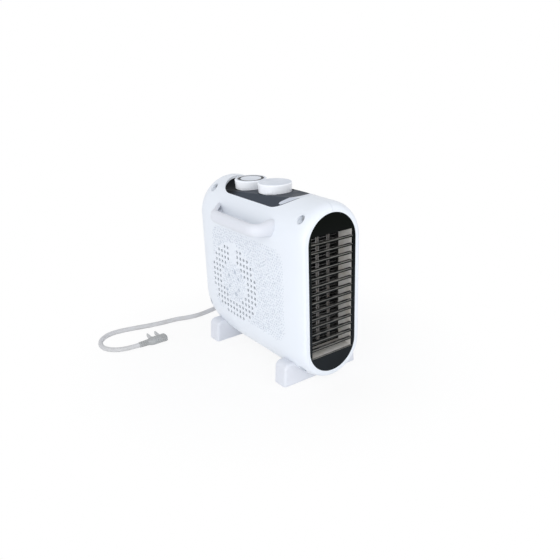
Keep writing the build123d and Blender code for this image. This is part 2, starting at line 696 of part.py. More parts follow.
def scroll_cover():
    """Intake-side plate with its inlet lip and screw ears."""
    x1 = SCROLL_LEFT - SEAT
    x0 = x1 - COVER_THICK
    plate = extrude(scroll_face(x0, SCROLL_WALL), amount=COVER_THICK, dir=(1, 0, 0))
    for y, z in cover_screw_places():
        plate += rod_x(x0, x1, y, z, EAR_RADIUS)
    plate += rod_x(x0, x1 + LIP_LENGTH, FAN_Y, FAN_Z, INLET_RADIUS + 1.6)
    plate -= rod_x(x0 - 1, x1 + LIP_LENGTH + 1, FAN_Y, FAN_Z, INLET_RADIUS)
    for y, z in cover_screw_places():
        plate -= rod_x(x0 - 1, x1 + 1, y, z, SCREW_RADIUS + HOLE_PLAY)
    return plate


def scroll_screws():
    """Screws of the cover and of the housing's back plate."""
    group = []
    for y, z in cover_screw_places():
        group.append(rod_x(-BODY_HALF + WALL + 1, SCROLL_LEFT - SEAT, y, z, SCREW_RADIUS)
                     + rod_x(SCROLL_LEFT - SEAT, SCROLL_LEFT - SEAT + HEAD_HEIGHT, y, z, HEAD_RADIUS))
    seat = SCROLL_RIGHT - SCROLL_WALL
    for y, z in back_screw_places():
        group.append(rod_x(seat, BODY_HALF - WALL - 6, y, z, SCREW_RADIUS)
                     + rod_x(seat - HEAD_HEIGHT, seat, y, z, HEAD_RADIUS))
    return Compound(group)


# ---- fan ----
FAN_LEFT = SCROLL_LEFT + 4.0
FAN_RIGHT = FAN_LEFT + FAN_WIDTH


def blade_profile(x, angle):
    """Forward-curved blade section as a thin arc strip between the ring's radii."""
    depth = FAN_RADIUS - FAN_BORE - 1.0

    def point(share, grow):
        radius = FAN_BORE + 0.5 + depth * share
        lead = math.radians(angle + 11 * share * share)
        return (x, FAN_Y + radius * math.cos(lead) - grow * math.sin(lead),
                FAN_Z + radius * math.sin(lead) + grow * math.cos(lead))
    near = [point(s, 0) for s in (0, 0.5, 1)]
    far = [point(s, BLADE_THICK) for s in (0, 0.5, 1)]
    return make_face([ThreePointArc(*near), Line(near[2], far[2]),
                      ThreePointArc(far[2], far[1], far[0]), Line(far[0], near[0])])


def impeller():
    """Squirrel-cage impeller: rear disc with hub, front ring and the blades between them."""
    wheel = rod_x(FAN_RIGHT - FAN_DISC, FAN_RIGHT, FAN_Y, FAN_Z, FAN_RADIUS)
    wheel += rod_x(FAN_RIGHT - 16, FAN_RIGHT, FAN_Y, FAN_Z, HUB_RADIUS)
    wheel += rod_x(FAN_LEFT, FAN_LEFT + FAN_RING, FAN_Y, FAN_Z, FAN_RADIUS) \
        - rod_x(FAN_LEFT - 1, FAN_LEFT + FAN_RING + 1, FAN_Y, FAN_Z, FAN_BORE)
    for i in range(FAN_BLADES):
        wheel += extrude(blade_profile(FAN_LEFT + FAN_RING / 2, i * 360 / FAN_BLADES),
                         amount=FAN_WIDTH - FAN_RING / 2 - FAN_DISC / 2, dir=(1, 0, 0))
    wheel -= rod_x(FAN_RIGHT - 20, FAN_RIGHT + 1, FAN_Y, FAN_Z, SHAFT_RADIUS + HOLE_PLAY / 2)
    return wheel


STATOR_REAR = STATOR_FRONT + STATOR_LENGTH
INNER_BRACKET = SCROLL_RIGHT + BRACKET_STANDOFF
OUTER_BRACKET = STATOR_REAR + 2.0
SHAFT_END = OUTER_BRACKET + BRACKET_THICK + 3.0


def motor_shaft():
    return rod_x(FAN_RIGHT - 16, SHAFT_END, FAN_Y, FAN_Z, SHAFT_RADIUS)


def motor_rotor():
    rotor = rod_x(STATOR_FRONT, STATOR_REAR, FAN_Y, FAN_Z, ROTOR_RADIUS)
    return rotor - rod_x(STATOR_FRONT - 1, STATOR_REAR + 1, FAN_Y, FAN_Z, SHAFT_RADIUS + HOLE_PLAY / 2)


def motor_stator():
    """Laminated yoke with the rotor's bore and the window that the coil passes through."""
    yoke = block(STATOR_FRONT, STATOR_REAR, FAN_Y - STATOR_HALF, FAN_Y + STATOR_HALF,
                 FAN_Z - STATOR_LOW, FAN_Z + STATOR_HIGH)
    yoke = fillet(yoke.edges().filter_by(Axis.X), radius=4)
    yoke -= block(STATOR_FRONT - 1, STATOR_REAR + 1, FAN_Y - YOKE_WINDOW_HALF, FAN_Y + YOKE_WINDOW_HALF,
                  FAN_Z + YOKE_WINDOW_LOW, FAN_Z + YOKE_WINDOW_HIGH)
    yoke -= rod_x(STATOR_FRONT - 1, STATOR_REAR + 1, FAN_Y, FAN_Z, ROTOR_RADIUS + AIR_GAP)
    for side in (-1, 1):
        yoke -= rod_x(STATOR_FRONT - 1, STATOR_REAR + 1, FAN_Y + side * MOTOR_SCREW_Y, FAN_Z,
                      MOTOR_SCREW_RADIUS + HOLE_PLAY)
    return yoke


def motor_coil():
    """Bobbin winding round the yoke's upper leg."""
    gap = 0.3
    coil = block(STATOR_FRONT - COIL_WALL, STATOR_REAR + COIL_WALL, FAN_Y - YOKE_WINDOW_HALF + gap,
                 FAN_Y + YOKE_WINDOW_HALF - gap, FAN_Z + YOKE_WINDOW_HIGH - COIL_WALL - 5,
                 FAN_Z + STATOR_HIGH + COIL_WALL)
    coil = fillet(coil.edges().filter_by(Axis.Y), radius=4)
    leg = block(STATOR_FRONT - gap, STATOR_REAR + gap, FAN_Y - STATOR_HALF, FAN_Y + STATOR_HALF,
                FAN_Z + YOKE_WINDOW_HIGH - gap, FAN_Z + STATOR_HIGH + gap)
    return coil - leg


def motor_bracket(x, cup_x0, cup_x1):
    """Strap across the motor with a bearing cup at its middle."""
    reach = MOTOR_SCREW_Y + 7
    strap = block(x, x + BRACKET_THICK, FAN_Y - reach, FAN_Y + reach,
                  FAN_Z - BRACKET_HEIGHT / 2, FAN_Z + BRACKET_HEIGHT / 2)
    strap = fillet(strap.edges().filter_by(Axis.X), radius=5)
    strap += rod_x(cup_x0, cup_x1, FAN_Y, FAN_Z, CUP_RADIUS)
    strap -= rod_x(cup_x0 - 1, cup_x1 + 1, FAN_Y, FAN_Z, BUSH_RADIUS)
    for side in (-1, 1):
        strap -= rod_x(x - 1, x + BRACKET_THICK + 1, FAN_Y + side * MOTOR_SCREW_Y, FAN_Z,
                       MOTOR_SCREW_RADIUS + HOLE_PLAY)
    return strap


def bearing_bushes():
    """Sintered bushes, one in each cup."""
    group = []
    for x0 in (INNER_BRACKET + BRACKET_THICK - CUP_LENGTH, OUTER_BRACKET):
        bush = rod_x(x0, x0 + CUP_LENGTH, FAN_Y, FAN_Z, BUSH_RADIUS)
        group.append(bush - rod_x(x0 - 1, x0 + CUP_LENGTH + 1, FAN_Y, FAN_Z, SHAFT_RADIUS + SHAFT_RUNNING))
    return Compound(group)


def motor_screws():
    """Two through screws: housing, inner bracket, yoke, outer bracket."""
    group = []
    for side in (-1, 1):
        y = FAN_Y + side * MOTOR_SCREW_Y
        end = OUTER_BRACKET + BRACKET_THICK
        group.append(rod_x(SCROLL_RIGHT - SCROLL_WALL + 0.2, end, y, FAN_Z, MOTOR_SCREW_RADIUS)
                     + rod_x(end, end + 2, y, FAN_Z, 3.0))
    return Compound(group)


def motor_spacers():
    """Sleeves that hold the yoke between the two brackets."""
    group = []
    for side in (-1, 1):
        for x0, x1 in ((INNER_BRACKET + BRACKET_THICK, STATOR_FRONT), (STATOR_REAR, OUTER_BRACKET)):
            sleeve = rod_x(x0, x1, FAN_Y + side * MOTOR_SCREW_Y, FAN_Z, 3.4)
            group.append(sleeve - rod_x(x0 - 1, x1 + 1, FAN_Y + side * MOTOR_SCREW_Y, FAN_Z,
                                        MOTOR_SCREW_RADIUS + HOLE_PLAY))
    return Compound(group)


# ---- control panel ----
KNOBS = {
    "thermostat": (THERMOSTAT_Y, THERMOSTAT_KNOB_TOP, THERMOSTAT_KNOB_RADIUS),
    "switch": (SWITCH_Y, SWITCH_KNOB_TOP, SWITCH_KNOB_RADIUS),
}


def label_prism(grow):
    """Plan of the crescent inlay along the panel's front edge, with round ends."""
    middle = DISH_FRONT + DISH_HALF
    front = DISH_FRONT + LABEL_MARGIN
    rear = front + LABEL_WIDTH + LABEL_REAR_RADIUS
    prism = rod_z(BRACKET_TOP, BRACKET_TOP + 60, 0, middle, DISH_HALF - LABEL_MARGIN + grow)
    prism -= rod_z(BRACKET_TOP - 1, BRACKET_TOP + 61, 0, rear, LABEL_REAR_RADIUS - grow)
    half = LABEL_HALF + grow
    prism &= block(-half, half, front - 1, middle, BRACKET_TOP, BRACKET_TOP + 60)
    ends = prism.edges().filter_by(Axis.Z)
    return fillet(ends, radius=LABEL_ROUND + grow)


def top_panel():
    """Dark control panel in its dish, with wells, spindle holes and bracket posts."""
    plate = (above_dish(TOP_THICK) - above_dish(0)) & dish_prism(-SEAT)
    for y, top, radius in KNOBS.values():
        floor = top - KNOB_HEIGHT - WELL_DROP
        plate -= rod_z(floor, BODY_TOP + 20, 0, y, radius + WELL_MARGIN)
    plate -= label_prism(SEAT) & above_dish(LABEL_THICK)
    under = above_dish(TOP_THICK / 2)
    for x, y in post_places():
        plate += rod_z(BRACKET_TOP, BODY_TOP, x, y, POST_RADIUS) - under
        plate -= rod_z(BRACKET_TOP - 1, BRACKET_TOP + POST_BORE, x, y, POST_SCREW_RADIUS + HOLE_PLAY)
    for y, _, _ in KNOBS.values():
        plate -= rod_z(BRACKET_TOP, BODY_TOP + 20, 0, y, BUSH_NECK_RADIUS + 2)
    return plate


def post_places():
    return [(side * POST_X, y) for side in (-1, 1) for y in (THERMOSTAT_Y - 20, SWITCH_Y + 18)]


def label_inlay():
    return (above_dish(LABEL_THICK) - above_dish(0)) & label_prism(0)


def control_bracket():
    """Sheet-metal plate under the panel that carries both controls."""
    plate = block(-BRACKET_HALF, BRACKET_HALF, THERMOSTAT_Y - 25, SWITCH_Y + 23,
                  BRACKET_TOP - BRACKET_SHEET, BRACKET_TOP)
    plate = fillet(plate.edges().filter_by(Axis.Z), radius=4)
    for y, _, _ in KNOBS.values():
        plate -= rod_z(BRACKET_TOP - 5, BRACKET_TOP + 5, 0, y, BUSH_NECK_RADIUS + HOLE_PLAY)
    for x, y in post_places():
        plate -= rod_z(BRACKET_TOP - 5, BRACKET_TOP + 5, x, y, POST_SCREW_RADIUS + HOLE_PLAY)
    return plate


def control_screws():
    group = []
    for x, y in post_places():
        seat = BRACKET_TOP - BRACKET_SHEET
        group.append(rod_z(seat, BRACKET_TOP + POST_BORE - 0.5, x, y, POST_SCREW_RADIUS)
                     + rod_z(seat - HEAD_HEIGHT, seat, x, y, 2 * POST_SCREW_RADIUS))
    return Compound(group)


def control_body(y, size):
    """Moulded body with its threaded neck, hung under the bracket by a nut."""
    length, width, height = size
    seat = BRACKET_TOP - BRACKET_SHEET
    body = fillet(block(-length / 2, length / 2, y - width / 2, y + width / 2, seat - height, seat)
                  .edges().filter_by(Axis.Z), radius=3)
    body += rod_z(seat, BRACKET_TOP + 6, 0, y, BUSH_NECK_RADIUS)
    body -= rod_z(seat - height + 4, BRACKET_TOP + 7, 0, y, SPINDLE_RADIUS + SPINDLE_PLAY)
    for side in (-1, 1):
        body += block(side * 8 - 0.4, side * 8 + 0.4, y - 3, y + 3, seat - height - 7, seat - height + 1)
    return body


def control_nuts():
    """Hexagon nuts on both threaded necks."""
    group = []
    for y, _, _ in KNOBS.values():
        nut = Pos(0, y, BRACKET_TOP) * extrude(RegularPolygon(NUT_RADIUS, 6), amount=NUT_THICK)
        group.append(nut - rod_z(BRACKET_TOP - 1, BRACKET_TOP + 5, 0, y, BUSH_NECK_RADIUS + HOLE_PLAY / 2))
    return Compound(group)


def control_spindle(y, top, size):
    """Spindle from inside the control's body up into the knob's boss."""
    foot = BRACKET_TOP - BRACKET_SHEET - size[2] + 4.2
    return rod_z(foot, top - KNOB_CAP - 1, 0, y, SPINDLE_RADIUS)


def knob(y, top, radius):
    """Hollow knob: tapered skirt, rounded rim and a boss bored for the spindle."""
    low = top - KNOB_HEIGHT
    body = Pos(0, y, (low + top) / 2) * Cone(radius - KNOB_TAPER, radius, KNOB_HEIGHT)
    body = fillet(body.edges().sort_by(Axis.Z)[-1:], radius=KNOB_ROUND)
    body -= rod_z(low - 1, top - KNOB_CAP, 0, y, radius - KNOB_TAPER - KNOB_WALL)
    body += rod_z(low + 1, top - KNOB_CAP + 0.5, 0, y, KNOB_BOSS)
    body -= rod_z(low - 1, top - KNOB_CAP - 0.8, 0, y, SPINDLE_RADIUS + HOLE_PLAY / 2)
    return body


def knob_thermostat():
    """Front knob, with a moulded pointer groove near the rim."""
    y, top, radius = KNOBS["thermostat"]
    groove = Pos(0, y, 0) * Rot(0, 0, 38) * block(-0.6, 0.6, radius - 10, radius - 4, top - 0.5, top + 1)
    return knob(y, top, radius) - groove


def knob_switch():
    """Rear knob, with the ring's groove round a raised centre."""
    y, top, radius = KNOBS["switch"]
    return knob(y, top, radius) - ring_tube(top - RING_SUNK - RING_THICK - SEAT, top + 1, SEAT)


def ring_tube(low, high, grow):
    y = KNOBS["switch"][0]
    return rod_z(low, high, 0, y, RING_OUTER + grow) - rod_z(low - 1, high + 1, 0, y, RING_INNER - grow)


def knob_ring():
    """Dark ring sunk below the rim of the rear knob."""
    top = KNOBS["switch"][1] - RING_SUNK
    return ring_tube(top - RING_THICK, top, 0)


# ---- handle ----
def handle_path():
    """Middle line of the bar, from inside the casing at the front to inside it at the rear."""
    centre = -HANDLE_REACH + HANDLE_THICK / 2
    inside = -BODY_HALF + 11
    return FilletPolyline((inside, HANDLE_FRONT, HANDLE_Z), (centre, HANDLE_FRONT, HANDLE_Z),
                          (centre, HANDLE_REAR_BEND, HANDLE_Z), (inside, HANDLE_REAR, HANDLE_Z),
                          radius=HANDLE_BEND)


def handle_section(place, shift, share, skin):
    """Oval section at a place on the path, or the hollow's section, moved to the bar's inner side."""
    at, along = place
    reach = -BODY_HALF - at.X
    front = at.Y < (HANDLE_FRONT + HANDLE_REAR_BEND) / 2
    swell = ROOT_FLARE * max(0.0, 1 - max(reach, 0) / ROOT_FLARE_LENGTH) ** 2 if front else 0.0
    leg = 0.0 if front else smooth_step((at.Y - HANDLE_REAR_BEND + 6) / 16)
    thick = HANDLE_THICK + (HANDLE_LEG_THICK - HANDLE_THICK) * leg + 1.2 * swell
    inner = along.cross(Vector(0, 0, 1))
    plane = Plane(origin=at + inner * (shift * thick), x_dir=(0, 0, 1), z_dir=along)
    return plane * Ellipse(HANDLE_HEIGHT / 2 + swell - skin, share * thick / 2)


def smooth_step(share):
    share = min(max(share, 0.0), 1.0)
    return share * share * (3 - 2 * share)


def handle_loft(stations, shift, share, skin):
    path = handle_path()
    places = [(path @ s, path % s) for s in stations]
    return loft([handle_section(place, shift, share, skin) for place in places])


def handle():
    """Fixed side handle: a bent bar, hollow on its inner side, whose roots end on the casing."""
    whole = handle_loft([i / 40 for i in range(41)], 0, 1, 0)
    hollow = handle_loft([0.19 + 0.81 * i / 32 for i in range(33)], 0.25, 1, HANDLE_SKIN)
    bar = whole - hollow
    for y, z, bite in handle_roots():
        bar += rod_x(handle_seat(y, z) - bite - 1, -BODY_HALF + 6, y, z, HANDLE_POST) & whole
    bar -= casing(-SEAT)
    for y, z, bite in handle_roots():
        bar -= rod_x(handle_seat(y, z) - bite, -BODY_HALF + 5, y, z, SCREW_RADIUS + HOLE_PLAY)
    return bar


def handle_screws():
    group = []
    for y, z, bite in handle_roots():
        seat = handle_seat(y, z)
        group.append(rod_x(seat - bite + 1, seat, y, z, SCREW_RADIUS)
                     + rod_x(seat, seat + HEAD_HEIGHT, y, z, HEAD_RADIUS))
    return Compound(group)


# ---- feet ----
def foot(front):
    """Foot bar with a saddle for the casing's round bottom and rounded outer shoulders."""
    end, low = FOOT_HALF - FOOT_DRAFT, FOOT_HEIGHT - FOOT_SHOULDER
    bend = FOOT_SHOULDER * math.sqrt(0.5)
    edges = [Line((-FOOT_HALF, front, PAD_PROUD), (FOOT_HALF, front, PAD_PROUD)),
             Line((-end + FOOT_SHOULDER, front, FOOT_HEIGHT), (end - FOOT_SHOULDER, front, FOOT_HEIGHT))]
    for side in (-1, 1):
        corner = (side * (end - FOOT_SHOULDER + bend), front, low + bend)
        edges += [Line((side * FOOT_HALF, front, PAD_PROUD), (side * end, front, low)),
                  ThreePointArc((side * end, front, low), corner,
                                (side * (end - FOOT_SHOULDER), front, FOOT_HEIGHT))]
    bar = extrude(make_face(edges), amount=FOOT_THICK, dir=(0, 1, 0))
    rims = bar.edges().filter_by(lambda e: abs(e.center().X) > end - FOOT_SHOULDER
                                 and abs((e % 0.5).Y) < 0.1)
    bar = fillet(rims, radius=FOOT_ROUND)
    bar -= casing(-SEAT)
    for side in (-1, 1):
        bar -= pad_block(side, front, SEAT)
    for x in (-FOOT_SCREW_X, FOOT_SCREW_X):
        y = front + FOOT_THICK / 2
        bar -= rod_z(0, FOOT_SCREW_TOP, x, y, SCREW_RADIUS + HOLE_PLAY)
        bar -= rod_z(0, PAD_PROUD + HEAD_HEIGHT + 0.6, x, y, HEAD_RADIUS + 0.3)
    return bar


def pad_block(side, front, grow):
    """Rubber pad, or its pocket when grown."""
    centre_x = side * (FOOT_HALF - PAD_LENGTH / 2 - 4)
    centre_y = front + FOOT_THICK / 2
    half_length, half_width = PAD_LENGTH / 2 + grow, PAD_WIDTH / 2 + grow
    pad = block(centre_x - half_length, centre_x + half_length, centre_y - half_width, centre_y + half_width,
                0, PAD_HEIGHT + grow)
    return fillet(pad.edges().filter_by(Axis.Z), radius=3)


def foot_pads():
    return Compound([pad_block(side, front, 0) for front in (FOOT_FRONT, FOOT_REAR) for side in (-1, 1)])


def foot_screws():
    group = []
    for x, y in foot_screw_places():
        seat = PAD_PROUD + HEAD_HEIGHT + 0.6
        group.append(rod_z(seat, FOOT_SCREW_TOP - 1, x, y, SCREW_RADIUS)
                     + rod_z(seat - HEAD_HEIGHT, seat, x, y, HEAD_RADIUS))
    return Compound(group)


# ---- wiring and mains lead ----
def terminal_block():
    """Three-way terminal block on its boss."""
    x0 = GLAND_X - 13
    body = block(x0, x0 + 18, TERMINAL_REAR - TERMINAL_DEPTH, TERMINAL_REAR, TERMINAL_Z, TERMINAL_Z + 11)
    for i in range(3):
        body -= rod_z(TERMINAL_Z + 7, TERMINAL_Z + 12, x0 + 3 + 6 * i,
                      TERMINAL_REAR - TERMINAL_DEPTH / 2, 1.6)
    return body


def tube(points, radius):
    """Round tube on straight runs joined by the largest arcs that the runs allow."""
    corners = [Vector(*p) for p in points]
    radii = []
    for before, here, after in zip(corners, corners[1:], corners[2:]):
        half_turn = math.radians((here - before).get_angle(after - here)) / 2
        shorter = min((here - before).length, (after - here).length)
        radii.append(0.45 * shorter / math.tan(half_turn))
    path = FilletPolyline(*points, radius=radii)
    print("radii", [round(r) for r in radii], "length", round(path.length, 1))
    start = Plane(origin=points[0], z_dir=corners[1] - corners[0])
    solid = sweep(start * Circle(radius), path=path)
    print("volume over section times length", round(solid.volume / (math.pi * radius ** 2 * path.length), 4))
    return solid


def inner_leads():
    """Supply cord inside the casing and the leads up to the controls."""
    group = [rod_y(BODY_DEPTH - 37.7, BODY_DEPTH - 21.3, GLAND_X, GLAND_Z, CORD_RADIUS)]
    top = BRACKET_TOP - BRACKET_SHEET - SWITCH_BODY[2] - 7.5
    rear = TERMINAL_REAR - TERMINAL_DEPTH / 2
    group.append(tube([(GLAND_X - 4, rear, TERMINAL_Z + 11.3), (GLAND_X + 4, rear + 1, 60),
                       (GLAND_X + 6, rear, 105), (GLAND_X + 4, rear - 3, 150), (GLAND_X, rear - 12, top - 6),
                       (GLAND_X - 5, SWITCH_Y + 4, top + 4), (8.9, SWITCH_Y + 1, top + 4)], 1.3))
    return Compound(group)


def strain_relief():
    """Tapered gland that grips the cord at the lower rear of the casing."""
    cone = Pos(GLAND_X, (GLAND_TIP + BODY_DEPTH - 17) / 2, GLAND_Z) * Rot(-90, 0, 0) \
        * Cone(GLAND_BASE, CORD_RADIUS + 0.9, GLAND_TIP - BODY_DEPTH + 17)
    relief = cone - casing(-SEAT)
    relief += rod_y(BODY_DEPTH - 21, BODY_DEPTH + 3, GLAND_X, GLAND_Z, GLAND_NECK)
    relief += rod_y(BODY_DEPTH - 21, BODY_DEPTH - 18.6, GLAND_X, GLAND_Z, GLAND_BASE)
    return relief


def coil_rings():
    """Radius and height of each ring of turns: three below, two nested above."""
    diameter = 2 * CORD_RADIUS
    lift = diameter * math.sin(math.radians(60))
    low = [(COIL_MEAN + k * diameter, CORD_RADIUS) for k in (-1, 0, 1)]
    high = [(COIL_MEAN + k * diameter, CORD_RADIUS + lift) for k in (-0.5, 0.5)]
    return low + high


def cord_coil():
    """Outer shape of the coil: its bundle's section turned about the coil's axis."""
    rings = coil_rings()
    inner, outer = rings[0][0] - CORD_RADIUS, rings[2][0] + CORD_RADIUS
    top = rings[-1][1] + CORD_RADIUS
    shoulder = CORD_RADIUS * 1.6
    crown = CORD_RADIUS * 0.85
    section = make_face(Polyline((inner, 0, 0), (outer, 0, 0), (outer, 0, shoulder),
                                 (rings[-1][0] + crown, 0, top), (rings[-2][0] - crown, 0, top),
                                 (inner, 0, shoulder), close=True))
    return Pos(COIL_X, COIL_Y, 0) * revolve(section, axis=Axis.Z)


def cord_tie():
    """Strap round the coil's bundle, on the side away from the heater."""
    rings = coil_rings()
    inner, outer = rings[0][0] - CORD_RADIUS, rings[2][0] + CORD_RADIUS
    top = rings[-1][1] + CORD_RADIUS
    x0, x1 = COIL_X + inner - 0.6, COIL_X + outer + 0.6
    half = TIE_WIDTH / 2
    band = block(x0 - TIE_THICK, x1 + TIE_THICK, COIL_Y - half, COIL_Y + half, 0, top + 0.6 + TIE_THICK)
    return band - block(x0, x1, COIL_Y - half - 1, COIL_Y + half + 1, -1, top + 0.6)


def plug_body():
    """Side-entry moulded plug: ribbed sleeve, then a flat rounded body with its pins to the side."""
    x, y, z = RUN_ROUTE[-1]
    sleeve = Cone(CORD_RADIUS + 0.8, PLUG_HEIGHT / 2 - 0.1, PLUG_SLEEVE)
    sleeve = Pos(x + PLUG_SLEEVE / 2, y, z) * Rot(0, 90, 0) * sleeve
    core = block(x + PLUG_SLEEVE - 2, x + PLUG_LENGTH, y - PLUG_WIDTH / 2, y + PLUG_WIDTH / 2,
                 z - PLUG_HEIGHT / 2, z + PLUG_HEIGHT / 2)
    core = fillet(core.edges().filter_by(Axis.Z), radius=PLUG_WIDTH * 0.4)
    core = fillet(core.edges().group_by(Axis.Z)[-1] + core.edges().group_by(Axis.Z)[0], radius=3)
    return core + sleeve


def plug_pins():
    x, y, z = RUN_ROUTE[-1]
    centre, root = x + (PLUG_SLEEVE + PLUG_LENGTH) / 2, y + PLUG_WIDTH / 2
    group = []
    for side in (-1, 1):
        px = centre + side * PIN_SPACING / 2
        pin = block(px - PIN_THICK / 2, px + PIN_THICK / 2, root, root + PIN_LENGTH,
                    z - PIN_WIDTH / 2, z + PIN_WIDTH / 2)
        group.append(fillet(pin.edges().group_by(Axis.Y)[-1].filter_by(Axis.X), radius=2))
    return Compound(group)


def main():
    os.makedirs("parts", exist_ok=True)
    left, right = casing_shells()
    y, top, _ = KNOBS["thermostat"]
    sy, stop, _ = KNOBS["switch"]
    pieces = {
        "shell_left": left, "shell_right": right, "shell_screws": case_screws(),
        "outlet_panel": outlet_panel(), "duct_lining": duct_lining(),
        "heater_frame": heater_frame(), "ptc_stones": ptc_stones(), "ptc_electrodes": ptc_electrodes(),
        "ptc_fins": ptc_fins(), "thermal_cutout": thermal_cutout(), "thermal_fuse": thermal_fuse(),
        "air_duct": air_duct(), "scroll_housing": scroll_housing(), "scroll_cover": scroll_cover(),
        "scroll_screws": scroll_screws(),
        "impeller": impeller(), "motor_shaft": motor_shaft(), "motor_rotor": motor_rotor(),
        "motor_stator": motor_stator(), "motor_coil": motor_coil(),
        "bracket_inner": motor_bracket(INNER_BRACKET, INNER_BRACKET + BRACKET_THICK - CUP_LENGTH,
                                       INNER_BRACKET + BRACKET_THICK),
        "bracket_outer": motor_bracket(OUTER_BRACKET, OUTER_BRACKET, OUTER_BRACKET + CUP_LENGTH),
        "bearing_bushes": bearing_bushes(), "motor_screws": motor_screws(), "motor_spacers": motor_spacers(),
        "top_panel": top_panel(), "label_inlay": label_inlay(), "control_bracket": control_bracket(),
        "control_screws": control_screws(), "control_nuts": control_nuts(),
        "thermostat_body": control_body(y, THERMOSTAT_BODY), "switch_body": control_body(sy, SWITCH_BODY),
        "thermostat_spindle": control_spindle(y, top, THERMOSTAT_BODY),
        "switch_spindle": control_spindle(sy, stop, SWITCH_BODY),
        "knob_thermostat": knob_thermostat(), "knob_switch": knob_switch(), "knob_ring": knob_ring(),
        "handle": handle(), "handle_screws": handle_screws(),
        "foot_front": foot(FOOT_FRONT), "foot_rear": foot(FOOT_REAR),
        "foot_pads": foot_pads(), "foot_screws": foot_screws(),
        "terminal_block": terminal_block(), "inner_leads": inner_leads(), "strain_relief": strain_relief(),
        "cord_lead": tube(LEAD_ROUTE, CORD_RADIUS), "cord_coil": cord_coil(), "cord_tie": cord_tie(),
        "cord_run": tube(RUN_ROUTE, CORD_RADIUS), "plug_body": plug_body(), "plug_pins": plug_pins(),
    }
    for name, shape in pieces.items():
        save(name, shape)
    print(len(pieces), "nodes; coil length", round(COIL_TURNS * 2 * math.pi * COIL_MEAN))


main()
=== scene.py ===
# %% [markdown]
# # A ceramic fan heater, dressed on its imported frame
# The heater is a slim white casing on two foot bars. Warm air leaves through a black louvred
# panel at the front, and cold air enters through a ring of holes in the left side. The solid
# pieces come in as a fixed frame, so this lesson only adds finishes, the mains lead and the
# small raised texture that solids would make too heavy.

# %% Load the frame
import json
import math
import random
import bpy
from mathutils import Matrix, Vector
from mathutils.bvhtree import BVHTree


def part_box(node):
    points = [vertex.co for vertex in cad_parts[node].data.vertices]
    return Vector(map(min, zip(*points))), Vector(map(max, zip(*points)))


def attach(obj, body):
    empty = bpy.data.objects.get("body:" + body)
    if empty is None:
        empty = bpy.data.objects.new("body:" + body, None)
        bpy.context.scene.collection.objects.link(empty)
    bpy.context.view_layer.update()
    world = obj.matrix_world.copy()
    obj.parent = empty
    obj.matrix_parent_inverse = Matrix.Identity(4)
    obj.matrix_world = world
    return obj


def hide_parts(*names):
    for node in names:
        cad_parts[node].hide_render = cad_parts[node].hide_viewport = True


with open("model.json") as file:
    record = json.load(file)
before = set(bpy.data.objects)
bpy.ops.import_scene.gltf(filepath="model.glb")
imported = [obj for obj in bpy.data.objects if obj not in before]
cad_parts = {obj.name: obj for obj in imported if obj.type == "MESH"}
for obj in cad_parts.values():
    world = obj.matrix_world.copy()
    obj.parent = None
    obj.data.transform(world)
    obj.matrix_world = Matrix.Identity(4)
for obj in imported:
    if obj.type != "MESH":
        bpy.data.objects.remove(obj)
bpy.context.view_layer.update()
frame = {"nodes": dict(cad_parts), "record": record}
nodes = frame["nodes"]

# %% [markdown]
# ## Where things are
# The designer draws this heater from two planes: the seam between the casing's halves and the
# front face of the outlet. Reading both from the outlet panel's own box keeps every added piece
# in step with the solids, so one helper turns a place measured from those planes into a place
# in the frame.

# %% Places measured from the seam and the front
panel_low, panel_high = (Vector(corner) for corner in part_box("outlet_panel"))
SEAM_X = (panel_low.x + panel_high.x) / 2
FRONT_Y = panel_low.y


def spot(x, y, z):
    """A point given from the seam plane, the front face and the floor, in metres."""
    return Vector((SEAM_X + x, FRONT_Y + y, z))


print("seam at x", round(SEAM_X, 5), "front at y", round(FRONT_Y, 5))

# %% [markdown]
# ## Camera
# A product camera has a direction and a distance, not a bare matrix: azimuth and elevation say
# where it stands round the heater, and roll tips it a little as a hand-held camera does. Building
# its turn from those angles keeps each number readable.

# %% Stand the camera at the front left
CAMERA_PLACE = spot(-0.4664, -0.5514, 0.4256)
CAMERA_AZIMUTH = math.radians(35.10)
CAMERA_DROP = math.radians(21.36)
CAMERA_ROLL = math.radians(-1.91)
CAMERA_LENS = 40.56

camera_data = bpy.data.cameras.new("studio_camera")
camera_data.lens = CAMERA_LENS
camera_data.sensor_width = 36
camera_data.clip_start = 0.01
camera = bpy.data.objects.new("studio_camera", camera_data)
bpy.context.collection.objects.link(camera)
looking = Vector((math.sin(CAMERA_AZIMUTH) * math.cos(CAMERA_DROP),
                  math.cos(CAMERA_AZIMUTH) * math.cos(CAMERA_DROP), -math.sin(CAMERA_DROP)))
turn = looking.to_track_quat("-Z", "Y").to_matrix() @ Matrix.Rotation(CAMERA_ROLL, 3, "Z")
camera.matrix_world = Matrix.Translation(CAMERA_PLACE) @ turn.to_4x4()
bpy.context.scene.camera = camera
middle_of_casing = spot(0, 0.12, 0.12)
print("camera", round((CAMERA_PLACE - middle_of_casing).length, 3), "m from the middle of the casing")

# %% [markdown]
# ## Mains lead
# A lead is a fixed length of something springy. It leaves its gland level, drops to the floor,
# and lies in loose curves. The spare length is wound and tied behind the heater. One curve object
# holds the whole lead, because a NURBS spline through given points bends as evenly as a
# real sheath. Each coil point rests on the turns below it, as it would when it is wound by hand.

# %% Route of the lead
LEAD_RADIUS = 0.0035
LEAD_PITCH = 0.00712
COIL_CENTRE = (0.085, 0.350)
COIL_RINGS = [0.042, 0.035, 0.028, 0.0315, 0.0385]
COIL_ENTRY_RADIUS = 0.0455
COIL_EXIT_RADIUS = 0.0496
COIL_STEPS = 24                     # points to a turn
COIL_START = math.radians(191)
COIL_TURNS = 4.76
SHIFT_TURNS = 0.12                  # part of a turn in which one ring shifts to the next
LEAVING_FROM = 0.34                 # turns before the end where the lead starts to leave
LEAVING_TURNS = 0.30

